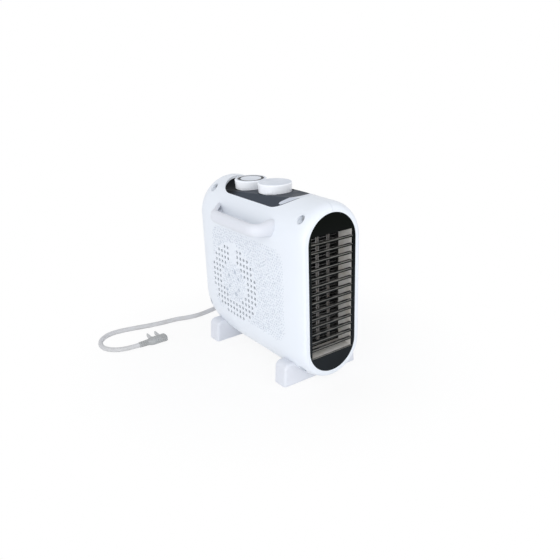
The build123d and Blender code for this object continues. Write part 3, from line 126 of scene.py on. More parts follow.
to_coil = [(0.020, 0.270, 0.030), (0.020, 0.284, 0.030), (0.022, 0.298, 0.025), (0.0265, 0.311, 0.015),
           (0.032, 0.324, 0.007), (0.037, 0.334, 0.0038)]
to_plug = [(0.053, 0.3012, 0.0035), (0.029, 0.3020, 0.0035), (0.005, 0.2994, 0.0035),
           (-0.017, 0.2944, 0.0035), (-0.038, 0.2912, 0.0035), (-0.056, 0.2936, 0.0035),
           (-0.072, 0.2998, 0.0035), (-0.091, 0.3014, 0.0035), (-0.113, 0.3044, 0.0035),
           (-0.136, 0.3106, 0.0035), (-0.158, 0.3160, 0.0035), (-0.1775, 0.3174, 0.0035),
           (-0.195, 0.3082, 0.0035), (-0.2046, 0.2910, 0.0035), (-0.2036, 0.2726, 0.0038),
           (-0.1936, 0.2586, 0.0043), (-0.177, 0.2504, 0.0048), (-0.160, 0.2504, 0.0048)]


def smooth(share):
    """Ease from 0 to 1 with no jerk at either end."""
    share = min(max(share, 0.0), 1.0)
    return share * share * (3 - 2 * share)


def coil_radius(turns):
    """Radius after so many turns: level rings, with a short shift from each to the next."""
    radius = COIL_ENTRY_RADIUS + (COIL_RINGS[0] - COIL_ENTRY_RADIUS) * smooth(turns / SHIFT_TURNS)
    for lap, (old, new) in enumerate(zip(COIL_RINGS, COIL_RINGS[1:]), start=1):
        radius += (new - old) * smooth((turns - lap + SHIFT_TURNS / 2) / SHIFT_TURNS)
    leaving = smooth((turns - COIL_TURNS + LEAVING_FROM) / LEAVING_TURNS)
    return radius + (COIL_EXIT_RADIUS - COIL_RINGS[-1]) * leaving


def coil_points():
    """The wound turns, each point lying on whatever turns are already under it."""
    laid = []
    count = round(COIL_TURNS * COIL_STEPS)
    for step in range(count + 1):
        radius = coil_radius(step / COIL_STEPS)
        height = LEAD_RADIUS
        for below in range(step - COIL_STEPS, -1, -COIL_STEPS):
            beside = radius - laid[below][0]
            if abs(beside) < LEAD_PITCH:
                height = max(height, laid[below][1] + math.sqrt(LEAD_PITCH ** 2 - beside ** 2))
        laid.append((radius, height))
    points = []
    for step, (radius, height) in enumerate(laid):
        angle = COIL_START - 2 * math.pi * step / COIL_STEPS
        points.append((COIL_CENTRE[0] + radius * math.cos(angle),
                       COIL_CENTRE[1] + radius * math.sin(angle), height))
    return points


route = [spot(*p) for p in to_coil + coil_points() + to_plug]
lead_data = bpy.data.curves.new("mains_lead", "CURVE")
lead_data.dimensions = "3D"
spline = lead_data.splines.new("NURBS")
spline.points.add(len(route) - 1)
for place, point in zip(route, spline.points):
    point.co = (*place, 1)
    point.radius = LEAD_RADIUS
spline.order_u = 3
spline.use_endpoint_u = True
spline.resolution_u = 6
lead_data.bevel_depth = 1
lead_data.bevel_resolution = 6
lead_data.use_fill_caps = True
mains_lead = bpy.data.objects.new("mains_lead", lead_data)
bpy.context.collection.objects.link(mains_lead)
print("lead laid through", len(route), "points,", round(spline.calc_length(), 3), "m long")

# %% [markdown]
# ## Building meshes by hand
# The small pieces below are turned, ribbed or stepped shapes. Each is made as rings of points
# joined by quads, the way a lathe or a mould would form it, and each then rides on the casing.

# %% Helpers that skin rings of points
ROOT = "casing"


def new_piece(name, verts, faces, slot, smooth_below=40, body=ROOT):
    """A mesh object with soft shading below a crease angle, riding on one body."""
    mesh = bpy.data.meshes.new(name)
    mesh.from_pydata([tuple(v) for v in verts], [], faces)
    mesh.update()
    mesh.shade_smooth()
    mesh.set_sharp_from_angle(angle=math.radians(smooth_below))
    piece = bpy.data.objects.new(name, mesh)
    bpy.context.collection.objects.link(piece)
    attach(piece, body)
    return piece


def skin(rings):
    """Quads between closed rings of equal length, with both ends capped."""
    verts = [v for ring in rings for v in ring]
    around = len(rings[0])
    faces = []
    for k in range(len(rings) - 1):
        near = k * around
        far = near + around
        for i in range(around):
            j = (i + 1) % around
            faces.append((near + i, near + j, far + j, far + i))
    faces.append(tuple(range(around - 1, -1, -1)))
    faces.append(tuple((len(rings) - 1) * around + i for i in range(around)))
    return verts, faces


def superellipse(wide, high, power, steps=40):
    """Points round an oblong with soft corners, as (across, up) pairs."""
    points = []
    for i in range(steps):
        c = math.cos(2 * math.pi * i / steps)
        s = math.sin(2 * math.pi * i / steps)
        points.append((math.copysign(abs(c) ** (2 / power), c) * wide,
                       math.copysign(abs(s) ** (2 / power), s) * high))
    return points


print("ring skinning ready,", len(superellipse(1, 1, 2)), "points to a ring")

# %% [markdown]
# ## Cord gland
# Where a lead leaves a casing it is gripped by a soft moulded gland. Slots round it let the
# gland bend in a wide curve, so the copper inside never folds at the wall. Each rib here is a
# short step out and back in along a gentle taper.

# %% Ribbed gland at the lower rear
GLAND_AXIS = (0.020, 0.030)
GLAND_WALL = 0.2460
GLAND_END = 0.2700
GLAND_RIBS = 6
RIBS_START = GLAND_WALL + 0.0034
RIB_PROFILE = ((0, 0.0012), (0.28, 0.0012), (0.36, 0.0001), (0.46, 0), (0.86, 0), (0.96, 0.0001))


def gland_rings():
    """Circles along the gland: a collar by the wall, then ribs that get smaller."""
    profile = [(0.2275, 0.0042), (0.2400, 0.0042), (0.2405, 0.0062), (GLAND_WALL + 0.0022, 0.0064),
               (GLAND_WALL + 0.0028, 0.0060)]
    pitch = (GLAND_END - 0.0012 - GLAND_WALL - 0.0034) / GLAND_RIBS
    for rib in range(GLAND_RIBS):
        start = RIBS_START + rib * pitch
        outer = 0.0060 - 0.0013 * rib / GLAND_RIBS
        for share, drop in RIB_PROFILE:
            profile.append((start + share * pitch, outer - drop))
    profile += [(GLAND_END - 0.0010, 0.0044), (GLAND_END - 0.0003, 0.0042), (GLAND_END, 0.0037)]
    rings = []
    for y, radius in profile:
        circle = superellipse(radius, radius, 2)
        rings.append([spot(GLAND_AXIS[0] + a, y, GLAND_AXIS[1] + b) for a, b in circle])
    return rings


cord_gland = new_piece("cord_gland", *skin(gland_rings()), "plug", smooth_below=34)
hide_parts("strain_relief")
print("cord_gland", len(cord_gland.data.polygons), "faces,", GLAND_RIBS, "ribs")

# %% [markdown]
# ## Plug
# A moulded plug is cast round the end of the lead in one soft piece: a ribbed sleeve that
# bends, then a flat body with a waist for the fingers. The pins are stamped from sheet brass
# and plated, with rounded tips that find their slots.

# %% Plug body with sleeve ribs and finger grooves
plug_low, plug_high = (Vector(corner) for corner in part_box("plug_body"))
PLUG_MID = (plug_low + plug_high) / 2
SLEEVE_LENGTH = 0.015
SLEEVE_RIBS = 5
GROOVES = 4
GROOVE_START = 0.0260
GROOVE_PITCH = 0.0036


def plug_rings():
    """Oblong sections along the plug, from the sleeve's mouth to the flat end."""
    full = plug_high.x - plug_low.x
    wide = (plug_high.y - plug_low.y) / 2
    high = (plug_high.z - plug_low.z) / 2
    sections = []
    for rib in range(SLEEVE_RIBS):
        start = rib * SLEEVE_LENGTH / SLEEVE_RIBS
        girth = high * (0.88 + 0.10 * rib / SLEEVE_RIBS)
        for share, drop in ((0.02, 0.0005), (0.30, 0.0005), (0.42, 0), (0.92, 0)):
            along = start + share * SLEEVE_LENGTH / SLEEVE_RIBS
            sections.append((along, girth - drop, girth - drop, 2))
    sections += [(0.0158, wide * 0.72, high * 0.95, 2.4), (0.0172, wide * 0.85, high * 0.97, 3),
                 (0.0192, wide * 0.94, high * 0.99, 3.6), (0.0225, wide, high, 4)]
    for groove in range(GROOVES):
        place = GROOVE_START + groove * GROOVE_PITCH
        for offset, cut in ((-0.0012, 0), (-0.0006, 0.0007), (0.0006, 0.0007), (0.0012, 0)):
            sections.append((place + offset, wide - cut, high - cut * 0.4, 4))
    sections += [(full - 0.0024, wide, high, 4), (full - 0.0008, wide - 0.0007, high - 0.0006, 4),
                 (full, wide - 0.0024, high - 0.0022, 4)]
    rings = []
    for along, a, b, power in sections:
        rings.append([Vector((plug_low.x + along, PLUG_MID.y + u, PLUG_MID.z + v))
                      for u, v in superellipse(a, b, power)])
    return rings


plug_shell = new_piece("plug_shell", *skin(plug_rings()), "plug", smooth_below=34)
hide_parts("plug_body")
plug_length = round((plug_high.x - plug_low.x) * 1000)
print("plug_shell", len(plug_shell.data.polygons), "faces,", plug_length, "mm long")

# %% [markdown]
# ## Strap round the coil
# A reusable strap is a strip of hook-and-loop tape with slightly raised edges. The bundle lies
# on the floor, so the strap is made as what shows of it: up one side, over the top and down
# the other, with the free end as a second layer on top.

# %% Strap tie with its overlapping end
tie_low, tie_high = (Vector(corner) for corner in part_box("cord_tie"))
TAPE = 0.0008
CORNER = 0.0050


def tie_path():
    """Up one side, over the bundle, down the other, then a second layer back over the top."""
    middle = (tie_low + tie_high) / 2
    wide = (tie_high.x - tie_low.x) / 2 - TAPE
    top = tie_high.z - 2 * TAPE
    points = [(-wide, z, 180) for z in (0.0002, 0.003, 0.006)]
    for step in range(9):
        turn = 180 - 90 * step / 8
        points.append((-wide + CORNER + CORNER * math.cos(math.radians(turn)),
                       top - CORNER + CORNER * math.sin(math.radians(turn)), turn))
    points += [(x * 0.001, top, 90) for x in (-4, -2, 0, 2, 4)]
    points += [(-x, z, 180 - turn) for x, z, turn in reversed(points)][5:]
    lap = [(x + TAPE * math.cos(math.radians(turn)), z + TAPE * math.sin(math.radians(turn)), turn)
           for x, z, turn in reversed(points[5:-3])]
    layers_made = []
    for layer in (points, lap):
        turns = [math.radians(turn) for _, _, turn in layer]
        outward = [Vector((math.cos(turn), 0, math.sin(turn))) for turn in turns]
        places = [Vector((middle.x + x, middle.y, z)) for x, z, _ in layer]
        layers_made.append(list(zip(places, outward)))
    return layers_made


def strap_rings(layer):
    """Flat sections with rolled edges along one layer of the strap."""
    wide = (tie_high.y - tie_low.y) / 2
    edge = [(-wide, 0.25), (-wide, 0.75), (-wide + 0.0006, 1), (-wide + 0.0013, 0.86), (wide - 0.0013, 0.86),
            (wide - 0.0006, 1), (wide, 0.75), (wide, 0.25), (wide - 0.0008, 0), (-wide + 0.0008, 0)]
    return [[place + Vector((0, across, 0)) + out * (TAPE * share) for across, share in edge]
            for place, out in layer]


(first_verts, first_faces), (lap_verts, lap_faces) = [skin(strap_rings(layer)) for layer in tie_path()]
strap_verts = first_verts + lap_verts
strap_faces = first_faces + [tuple(i + len(first_verts) for i in face) for face in lap_faces]
strap_tie = new_piece("strap_tie", strap_verts, strap_faces, "tie", smooth_below=50)
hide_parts("cord_tie")
print("strap_tie", len(strap_tie.data.polygons), "faces")

# %% [markdown]
# ## Ring on the rear knob
# A dark ring pressed into the knob's top marks the switch. It is moulded apart from the knob
# and sits just under the rim, with its edges rounded so that it drops into the groove. It is
# turned here from a small profile, and it rides on the knob, so it turns with it.

# %% Ring with rounded edges
ring_low, ring_high = (Vector(corner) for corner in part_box("knob_ring"))
RING_RISE = 0.0007
RING_BAND = 0.0041
RING_STEPS = 72


def ring_loops():
    """The ring's section, carried round the knob's axis."""
    middle = (ring_low + ring_high) / 2
    outer = (ring_high.x - ring_low.x) / 2
    inner = outer - RING_BAND
    top = ring_high.z + RING_RISE
    section = [(inner, ring_low.z), (inner, top - 0.0004),
               (inner + 0.0001, top - 0.0001), (inner + 0.0005, top),
               (outer - 0.0005, top), (outer - 0.0001, top - 0.0001),
               (outer, top - 0.0004), (outer, ring_low.z)]
    loops = []
    for step in range(RING_STEPS):
        angle = math.radians(360 * step / RING_STEPS)
        loops.append([Vector((middle.x + r * math.cos(angle), middle.y + r * math.sin(angle), z))
                      for r, z in section])
    return loops


ring_verts, ring_faces = skin(ring_loops())
corners = len(ring_verts) // RING_STEPS
last = (RING_STEPS - 1) * corners
ring_faces = ring_faces[:-2] + [(last + i, last + (i + 1) % corners, (i + 1) % corners, i)
                                for i in range(corners)]
switch_ring = new_piece("switch_ring", ring_verts, [tuple(reversed(f)) for f in ring_faces], "knob_black",
                        body="switch_knob")
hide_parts("knob_ring")
print("switch_ring", len(switch_ring.data.polygons), "faces")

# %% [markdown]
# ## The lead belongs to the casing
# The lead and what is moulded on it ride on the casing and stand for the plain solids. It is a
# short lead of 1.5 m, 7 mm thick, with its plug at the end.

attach(mains_lead, ROOT)
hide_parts("cord_lead", "cord_coil", "cord_run")

# %% [markdown]
# ## Raised drops on the sides
# The mould for each side is textured with a close field of small drops that hides scratches
# and stiffens the wall. They are staggered in rows, fade out towards the field's border and
# stop short of the grille's holes. A ray dropped on the casing finds the height for each one.

# %% Field of drops over the side walls
DROP_PITCH = 0.0041
DROP_HALF = (0.00120, 0.00150)
DROP_HEIGHT = 0.00085
DROP_STRAY = 0.0009
DROP_STEPS = 8
ROW_SHARE = 0.87                    # row spacing as a share of the pitch
scatter = random.Random(11)
FIELD = (0.034, 0.207, 0.054, 0.182)
FIELD_ROUND = 0.020
FIELD_FADE = 0.006
RAY_START = 0.090                   # well outside either wall
WALL_NEAREST = 0.040                # a hit nearer the seam than this isn't the side wall
GRILLE = (0.1528, 0.105)
GRILLE_INNER = 0.0290
GRILLE_OUTER = 0.0575


def wall_of(node):
    """A search tree over one casing half."""
    mesh = nodes[node].data
    return BVHTree.FromPolygons([v.co for v in mesh.vertices], [p.vertices for p in mesh.polygons])


def field_share(y, z):
    """How full the texture is at (y, z): 1 inside, easing to 0 at the border."""
    low_y, high_y, low_z, high_z = FIELD
    over_y = max(low_y + FIELD_ROUND - y, y - high_y + FIELD_ROUND, 0)
    over_z = max(low_z + FIELD_ROUND - z, z - high_z + FIELD_ROUND, 0)
    return smooth((FIELD_ROUND - math.hypot(over_y, over_z)) / FIELD_FADE)


def drop_places(keep_grille):
    """Staggered rows of places, with the grille's ring of holes left free."""
    low_y, high_y, low_z, high_z = FIELD
    places = []
    rows = int((high_z - low_z) / (DROP_PITCH * ROW_SHARE)) + 1
    for row in range(rows):
        z = low_z + row * DROP_PITCH * ROW_SHARE
        count = int((high_y - low_y) / DROP_PITCH)
        for column in range(count):
            stagger = column + (row % 2) / 2
            y = low_y + stagger * DROP_PITCH + scatter.uniform(-DROP_STRAY, DROP_STRAY)
            up = z + scatter.uniform(-DROP_STRAY, DROP_STRAY)
            share = field_share(y, up) * scatter.uniform(0.45, 1.0)
            reach = math.hypot(y - GRILLE[0], up - GRILLE[1])
            free = keep_grille or not GRILLE_INNER < reach < GRILLE_OUTER
            if share > 0.05 and free:
                places.append((y, up, share))
    return places


def drops(side, node, places):
    """Low domes standing on the wall, each turned to the wall's own slope."""
    wall = wall_of(node)
    toward = Vector((-side, 0, 0))
    verts = []
    faces = []
    for y, z, share in places:
        hit, normal, _, _ = wall.ray_cast(spot(side * RAY_START, y, z), toward)
        if hit is None or abs(hit.x - SEAM_X) < WALL_NEAREST or normal.x * side < 0.9:
            continue
        along = normal.cross(Vector((0, 0, 1))).normalized()
        up = normal.cross(along).normalized()
        first = len(verts)
        for level, girth in ((-0.25, 1.0), (0.35, 0.86), (0.82, 0.52)):
            girth_here = girth * (0.55 + 0.5 * share)
            for step in range(DROP_STEPS):
                angle = 2 * math.pi * step / DROP_STEPS
                verts.append(hit + along * (DROP_HALF[0] * girth_here * math.cos(angle))
                             + up * (DROP_HALF[1] * girth_here * math.sin(angle))
                             + normal * (DROP_HEIGHT * share * level))
        verts.append(hit + normal * (DROP_HEIGHT * share))
        for ring in range(2):
            near = first + ring * DROP_STEPS
            far = near + DROP_STEPS
            for step in range(DROP_STEPS):
                after = (step + 1) % DROP_STEPS
                faces.append((near + step, near + after, far + after, far + step))
        rim = first + 2 * DROP_STEPS
        crown = rim + DROP_STEPS
        faces += [(rim + step, rim + (step + 1) % DROP_STEPS, crown) for step in range(DROP_STEPS)]
    if side > 0:
        faces = [tuple(reversed(face)) for face in faces]
    return verts, faces


side_drops = []
for side, node, name in ((-1, "shell_left", "side_drops_left"), (1, "shell_right", "side_drops_right")):
    made = new_piece(name, *drops(side, node, drop_places(side > 0)), "casing", smooth_below=80)
    side_drops.append(made)
    print(name, len(made.data.polygons) // (3 * DROP_STEPS), "drops")

# %% [markdown]
# ## Blind dimples in the hub
# The pattern of holes runs on into the grille's hub as blind dimples, which never break
# through. Each is a shallow cup with a rolled rim, set on the same grid as the holes.

# %% Cups on the hub's grid
GRID = 0.008
CUP_PLACES = [(1.5, 1, 1), (-0.5, 2, 1.3), (-2.5, 2, 1), (-1.5, 1, 1), (1.5, -1, 1), (2.5, -2, 1),
              (-0.5, -2, 1.3), (-1.5, -1, 1)]
CUP_RADIUS = 0.0019
CUP_STEPS = 16
CUP_PROFILE = ((1.16, -0.0001), (1.10, 0.00022), (1.0, 0.0003), (0.86, 0.00018), (0.5, 0.00006))


def cups():
    """Rings from the rim in to the middle of each shallow cup."""
    wall = wall_of("shell_left")
    verts = []
    faces = []
    for across, up, girth in CUP_PLACES:
        aim = spot(-RAY_START, GRILLE[0] + across * GRID, GRILLE[1] + up * GRID)
        hit, normal, _, _ = wall.ray_cast(aim, Vector((1, 0, 0)))
        if hit is None or abs(hit.x - SEAM_X) < WALL_NEAREST:
            continue
        first = len(verts)
        for radius, rise in CUP_PROFILE:
            for step in range(CUP_STEPS):
                angle = 2 * math.pi * step / CUP_STEPS
                outward = Vector((0, math.cos(angle), math.sin(angle)))
                verts.append(hit + outward * (CUP_RADIUS * girth * radius) + normal * rise)
        verts.append(hit + normal * 0.00004)
        for ring in range(len(CUP_PROFILE) - 1):
            near = first + ring * CUP_STEPS
            far = near + CUP_STEPS
            for step in range(CUP_STEPS):
                after = (step + 1) % CUP_STEPS
                faces.append((near + step, far + step, far + after, near + after))
        inner = first + (len(CUP_PROFILE) - 1) * CUP_STEPS
        middle = inner + CUP_STEPS
        faces += [(inner + step, middle, inner + (step + 1) % CUP_STEPS) for step in range(CUP_STEPS)]
    return verts, faces


hub_dimples = new_piece("hub_dimples", *cups(), "casing", smooth_below=80)
print("hub_dimples", len(hub_dimples.data.polygons) // (len(CUP_PROFILE) * CUP_STEPS), "cups")

# %% [markdown]
# ## Shader groups
# Moulded parts share the same few effects, so each effect is a group with named inputs: fine
# grain left by the mould, a slow drift of tone, handling marks, and dust that settles on
# upward faces. Lengths are in metres and heights in millimetres, so a material reads like a
# note to a finisher.

# %% Node helpers and the grain group
GROUP_INPUTS = {"value": "NodeSocketFloat", "colour": "NodeSocketColor"}


def add(tree, kind, **settings):
    """One new node with its own settings."""
    made = tree.nodes.new(kind)
    for name, value in settings.items():
        setattr(made, name, value)
    return made


def feed(tree, socket, source):
    """Link a socket from another, or set it to a plain value."""
    if isinstance(source, bpy.types.NodeSocket):
        tree.links.new(source, socket)
    else:
        socket.default_value = source


def new_group(name, inputs, outputs):
    """An empty shader group with named inputs and outputs; returns it with both end nodes."""
    group = bpy.data.node_groups.new(name, "ShaderNodeTree")
    for label, kind, start in inputs:
        socket = group.interface.new_socket(label, in_out="INPUT", socket_type=GROUP_INPUTS[kind])
        socket.default_value = start
    for label, kind in outputs:
        group.interface.new_socket(label, in_out="OUTPUT", socket_type=GROUP_INPUTS[kind])
    return group, add(group, "NodeGroupInput"), add(group, "NodeGroupOutput")


def maths(tree, operation, *sources):
    """A Math node fed from sockets or numbers; returns its result."""
    made = add(tree, "ShaderNodeMath", operation=operation)
    for socket, source in zip(made.inputs, sources):
        feed(tree, socket, source)
    return made.outputs[0]


def object_place(tree):
    """Where a point is on its piece, in metres."""
    return add(tree, "ShaderNodeTexCoord").outputs["Object"]


def facing_up(tree):
    """The upward part of a face's direction: 1 where it looks straight up."""
    parts = add(tree, "ShaderNodeSeparateXYZ")
    feed(tree, parts.inputs[0], add(tree, "ShaderNodeNewGeometry").outputs["Normal"])
    return parts.outputs["Z"]


def noise(tree, feature, detail=2.0, coordinates=None):
    """Noise whose features are about so many metres across; that may be a socket."""
    made = add(tree, "ShaderNodeTexNoise")
    made.inputs["Detail"].default_value = detail
    feed(tree, made.inputs["Vector"], coordinates or object_place(tree))
    feed(tree, made.inputs["Scale"], maths(tree, "DIVIDE", 1.0, feature))
    return made.outputs["Fac"]


def spread(tree, source, low, high, out_low=0.0, out_high=1.0):
    """Stretch a value between two levels, clamped, with a smooth ramp."""
    made = add(tree, "ShaderNodeMapRange", interpolation_type="SMOOTHSTEP")
    for label, value in (("Value", source), ("From Min", low), ("From Max", high),
                         ("To Min", out_low), ("To Max", out_high)):
        feed(tree, made.inputs[label], value)
    return made.outputs["Result"]


def blend_colour(tree, share, first, second):
    """Mix two colours by a value; returns the colour."""
    made = add(tree, "ShaderNodeMix", data_type="RGBA")
    feed(tree, made.inputs[0], share)
    feed(tree, made.inputs[6], first)
    feed(tree, made.inputs[7], second)
    return made.outputs[2]


grain, given, out = new_group(
    "mould_grain",
    [("Grain Size", "value", 0.0006), ("Grain Height", "value", 0.02),
     ("Flow Size", "value", 0.03), ("Flow Height", "value", 0.05)],
    [("Height", "value")])
fine_noise = noise(grain, given.outputs["Grain Size"], 3.0)
fine = maths(grain, "MULTIPLY", fine_noise, given.outputs["Grain Height"])
flow_noise = noise(grain, given.outputs["Flow Size"], 1.0)
flow = maths(grain, "MULTIPLY", flow_noise, given.outputs["Flow Height"])
feed(grain, out.inputs["Height"], maths(grain, "ADD", fine, flow))
print("group", grain.name, "ready")

# %% [markdown]
# Tone drift stands for uneven pigment and ageing. Handling marks are where hands polish or
# smear a surface. Dust gathers where a face looks up, in soft patches.

# %% Tone, handling and dust groups
drift, given, out = new_group(
    "tone_drift",
    [("Colour", "colour", (0.8, 0.8, 0.8, 1)), ("Aged Colour", "colour", (0.7, 0.7, 0.65, 1)),
     ("Patch Size", "value", 0.05), ("Share", "value", 0.3)],
    [("Colour", "colour")])
patches = spread(drift, noise(drift, given.outputs["Patch Size"], 2.5), 0.35, 0.7)
aged_share = maths(drift, "MULTIPLY", patches, given.outputs["Share"])
drifted = blend_colour(drift, aged_share, given.outputs["Colour"], given.outputs["Aged Colour"])
feed(drift, out.inputs["Colour"], drifted)

handling, given, out = new_group(
    "handling_marks",
    [("Roughness", "value", 0.4), ("Smear Roughness", "value", 0.5), ("Smear Size", "value", 0.02)],
    [("Roughness", "value")])
smear = spread(handling, noise(handling, given.outputs["Smear Size"], 4.0), 0.45, 0.68)
gap = maths(handling, "SUBTRACT", given.outputs["Smear Roughness"], given.outputs["Roughness"])
feed(handling, out.inputs["Roughness"], maths(handling, "ADD", given.outputs["Roughness"],
                                              maths(handling, "MULTIPLY", smear, gap)))

dust, given, out = new_group(
    "settled_dust",
    [("Colour", "colour", (0.8, 0.8, 0.8, 1)), ("Dust Colour", "colour", (0.5, 0.48, 0.44, 1)),
     ("Amount", "value", 0.1), ("Roughness", "value", 0.4)],
    [("Colour", "colour"), ("Roughness", "value")])
lying = spread(dust, facing_up(dust), 0.55, 0.98)
patchy = spread(dust, noise(dust, 0.012, 5.0), 0.38, 0.72)
cover = maths(dust, "MULTIPLY", maths(dust, "MULTIPLY", lying, patchy), given.outputs["Amount"])
dusted = blend_colour(dust, cover, given.outputs["Colour"], given.outputs["Dust Colour"])
feed(dust, out.inputs["Colour"], dusted)
feed(dust, out.inputs["Roughness"], maths(dust, "ADD", given.outputs["Roughness"],
                                          maths(dust, "MULTIPLY", cover, 0.4)))
print("groups", drift.name, handling.name, dust.name, "ready")

# %% [markdown]
# ## Plastic finishes
# Nearly every plastic here is the same recipe with other amounts: a colour that drifts a
# little, dust on top, smears in its gloss, and a mould grain felt through the bump. One
# function writes that recipe, and a table holds what differs, part by part.

# %% Recipe for a moulded plastic
def grouped(tree, name, **values):
    """A use of one of the groups above, its inputs set by name."""
    made = add(tree, "ShaderNodeGroup", node_tree=bpy.data.node_groups[name])
    for label, value in values.items():
        feed(tree, made.inputs[label.replace("_", " ")], value)
    return made


def new_material(name, roughness=0.4, specular=0.5, metallic=0.0, coat=0.0):
    """A material with its shader; plain numbers sit on the shader's own sockets."""
    material = bpy.data.materials.new(name)
    material.use_nodes = True
    shader = material.node_tree.nodes["Principled BSDF"]
    shader.inputs["Roughness"].default_value = roughness
    shader.inputs["Specular IOR Level"].default_value = specular
    shader.inputs["Metallic"].default_value = metallic
    shader.inputs["Coat Weight"].default_value = coat
    shader.inputs["Coat Roughness"].default_value = 0.18
    return material, material.node_tree, shader


def bump(tree, shader, height, strength=1.0):
    """Heights in millimetres into the shader's normal."""
    made = add(tree, "ShaderNodeBump")
    made.inputs["Strength"].default_value = strength
    made.inputs["Distance"].default_value = 0.001
    feed(tree, made.inputs["Height"], height)
    feed(tree, shader.inputs["Normal"], made.outputs["Normal"])


def surface(tree, shader, colour, roughness, height):
    """Colour, roughness and a height in millimetres into the shader."""
    feed(tree, shader.inputs["Base Color"], colour)
    feed(tree, shader.inputs["Roughness"], roughness)
    bump(tree, shader, height)


def plastic(name, colour, aged, share=0.25, patch=0.05, rough=(0.38, 0.46), grain_size=0.0006,
            grain_height=0.02, flow=0.05, dusty=0.08, specular=0.4, coat=0.0, pattern=None):
    """Moulded plastic; pattern may turn the plain colour into something richer first."""
    material, tree, shader = new_material(name, rough[0], specular, 0.0, coat)
    base = pattern(tree, colour) if pattern else (*colour, 1)
    toned = grouped(tree, "tone_drift", Colour=base, Aged_Colour=(*aged, 1), Patch_Size=patch, Share=share)
    marks = grouped(tree, "handling_marks", Roughness=rough[0], Smear_Roughness=rough[1],
                    Smear_Size=patch * 0.4)
    top = grouped(tree, "settled_dust", Colour=toned.outputs["Colour"], Amount=dusty,
                  Roughness=marks.outputs["Roughness"])
    moulded = grouped(tree, "mould_grain", Grain_Size=grain_size, Grain_Height=grain_height,
                      Flow_Size=patch * 0.6, Flow_Height=flow)
    surface(tree, shader, top.outputs["Colour"], top.outputs["Roughness"], moulded.outputs["Height"])
    return material


print("plastic recipe ready")

# %% [markdown]
# Some plastics need more than a plain colour. The outlet panel is black at the top and turns
# a little lighter and bluer downwards, which is painted light, and the upper edges of its slats
# carry a painted grey highlight. The knobs' upward faces are painted greyer as painted shade, the
# dish is painted near black behind the rear knob as painted shade, the bare inlay is a foil with
# a painted glare that gets paler to the right, and the lining in front of the fins is browned by heat.

# %% Patterns under the plastic recipe
def along_axis(tree, axis):
    """How far a point lies along one axis of the frame, in metres."""
    parts = add(tree, "ShaderNodeSeparateXYZ")
    feed(tree, parts.inputs[0], object_place(tree))
    return parts.outputs[axis]


def panel_painted_light(tree, colour):
    """Black on top, painted lighter and bluer downwards as painted light, with a painted grey highlight on
    the slats' upper edges.
    """
    # painted light: the colour turns lighter and bluer towards the bottom of the panel
    share = spread(tree, along_axis(tree, "Z"), 0.235, 0.03)
    face = blend_colour(tree, share, (*colour, 1), (0.016, 0.019, 0.022, 1))
    # painted highlight: the upward front edges of the slats are painted grey
    near = spread(tree, along_axis(tree, "Y"), FRONT_Y + 0.0026, FRONT_Y + 0.0014)
    slat_edge_highlight = maths(tree, "MULTIPLY", spread(tree, facing_up(tree), 0.3, 0.9), near)
    return blend_colour(tree, slat_edge_highlight, face, (0.26, 0.26, 0.24, 1))


def knob_cap_painted_shade(tree, colour):
    """White sides under a cap painted greyer as painted shade on the upward faces."""
    cap_shade = spread(tree, facing_up(tree), 0.80, 0.99)
    # painted shade: the knob's upward faces are painted greyer than its sides
    return blend_colour(tree, cap_shade, (*colour, 1), (0.64, 0.69, 0.77, 1))


def dish_painted_shade(tree, colour):
    """Slate in the open, painted near black as painted shade on the wall behind the rear knob."""
    # painted shade: the dish turns near black towards the rear knob
    share = spread(tree, along_axis(tree, "Y"), FRONT_Y + 0.150, FRONT_Y + 0.178)
    return blend_colour(tree, share, (*colour, 1), (0.003, 0.004, 0.006, 1))


def foil_painted_glare(tree, colour):
    """A bare foil with a painted glare, paler towards the right."""
    share = spread(tree, along_axis(tree, "X"), SEAM_X - 0.03, SEAM_X + 0.03)
    # painted highlight: the foil is painted paler towards the right
    return blend_colour(tree, share, (*colour, 1), (0.70, 0.74, 0.82, 1))


def heat_brown(tree, colour):
    """Uneven browning where warm air passes."""
    share = spread(tree, noise(tree, 0.018, 4.0), 0.42, 0.66)
    red, green, blue = colour
    return blend_colour(tree, share, (*colour, 1), (red * 0.88, green * 0.85, blue * 0.80, 1))


print("patterns ready")

# %% [markdown]
# ## Plastics, part by part
# The casing and its fittings are white but not alike: the shell is a cool white, the handle
# and feet a shade greyer, and the knobs are satin. The dark parts reflect little, so their
# specular level is low and the studio's white walls don't wash them out.

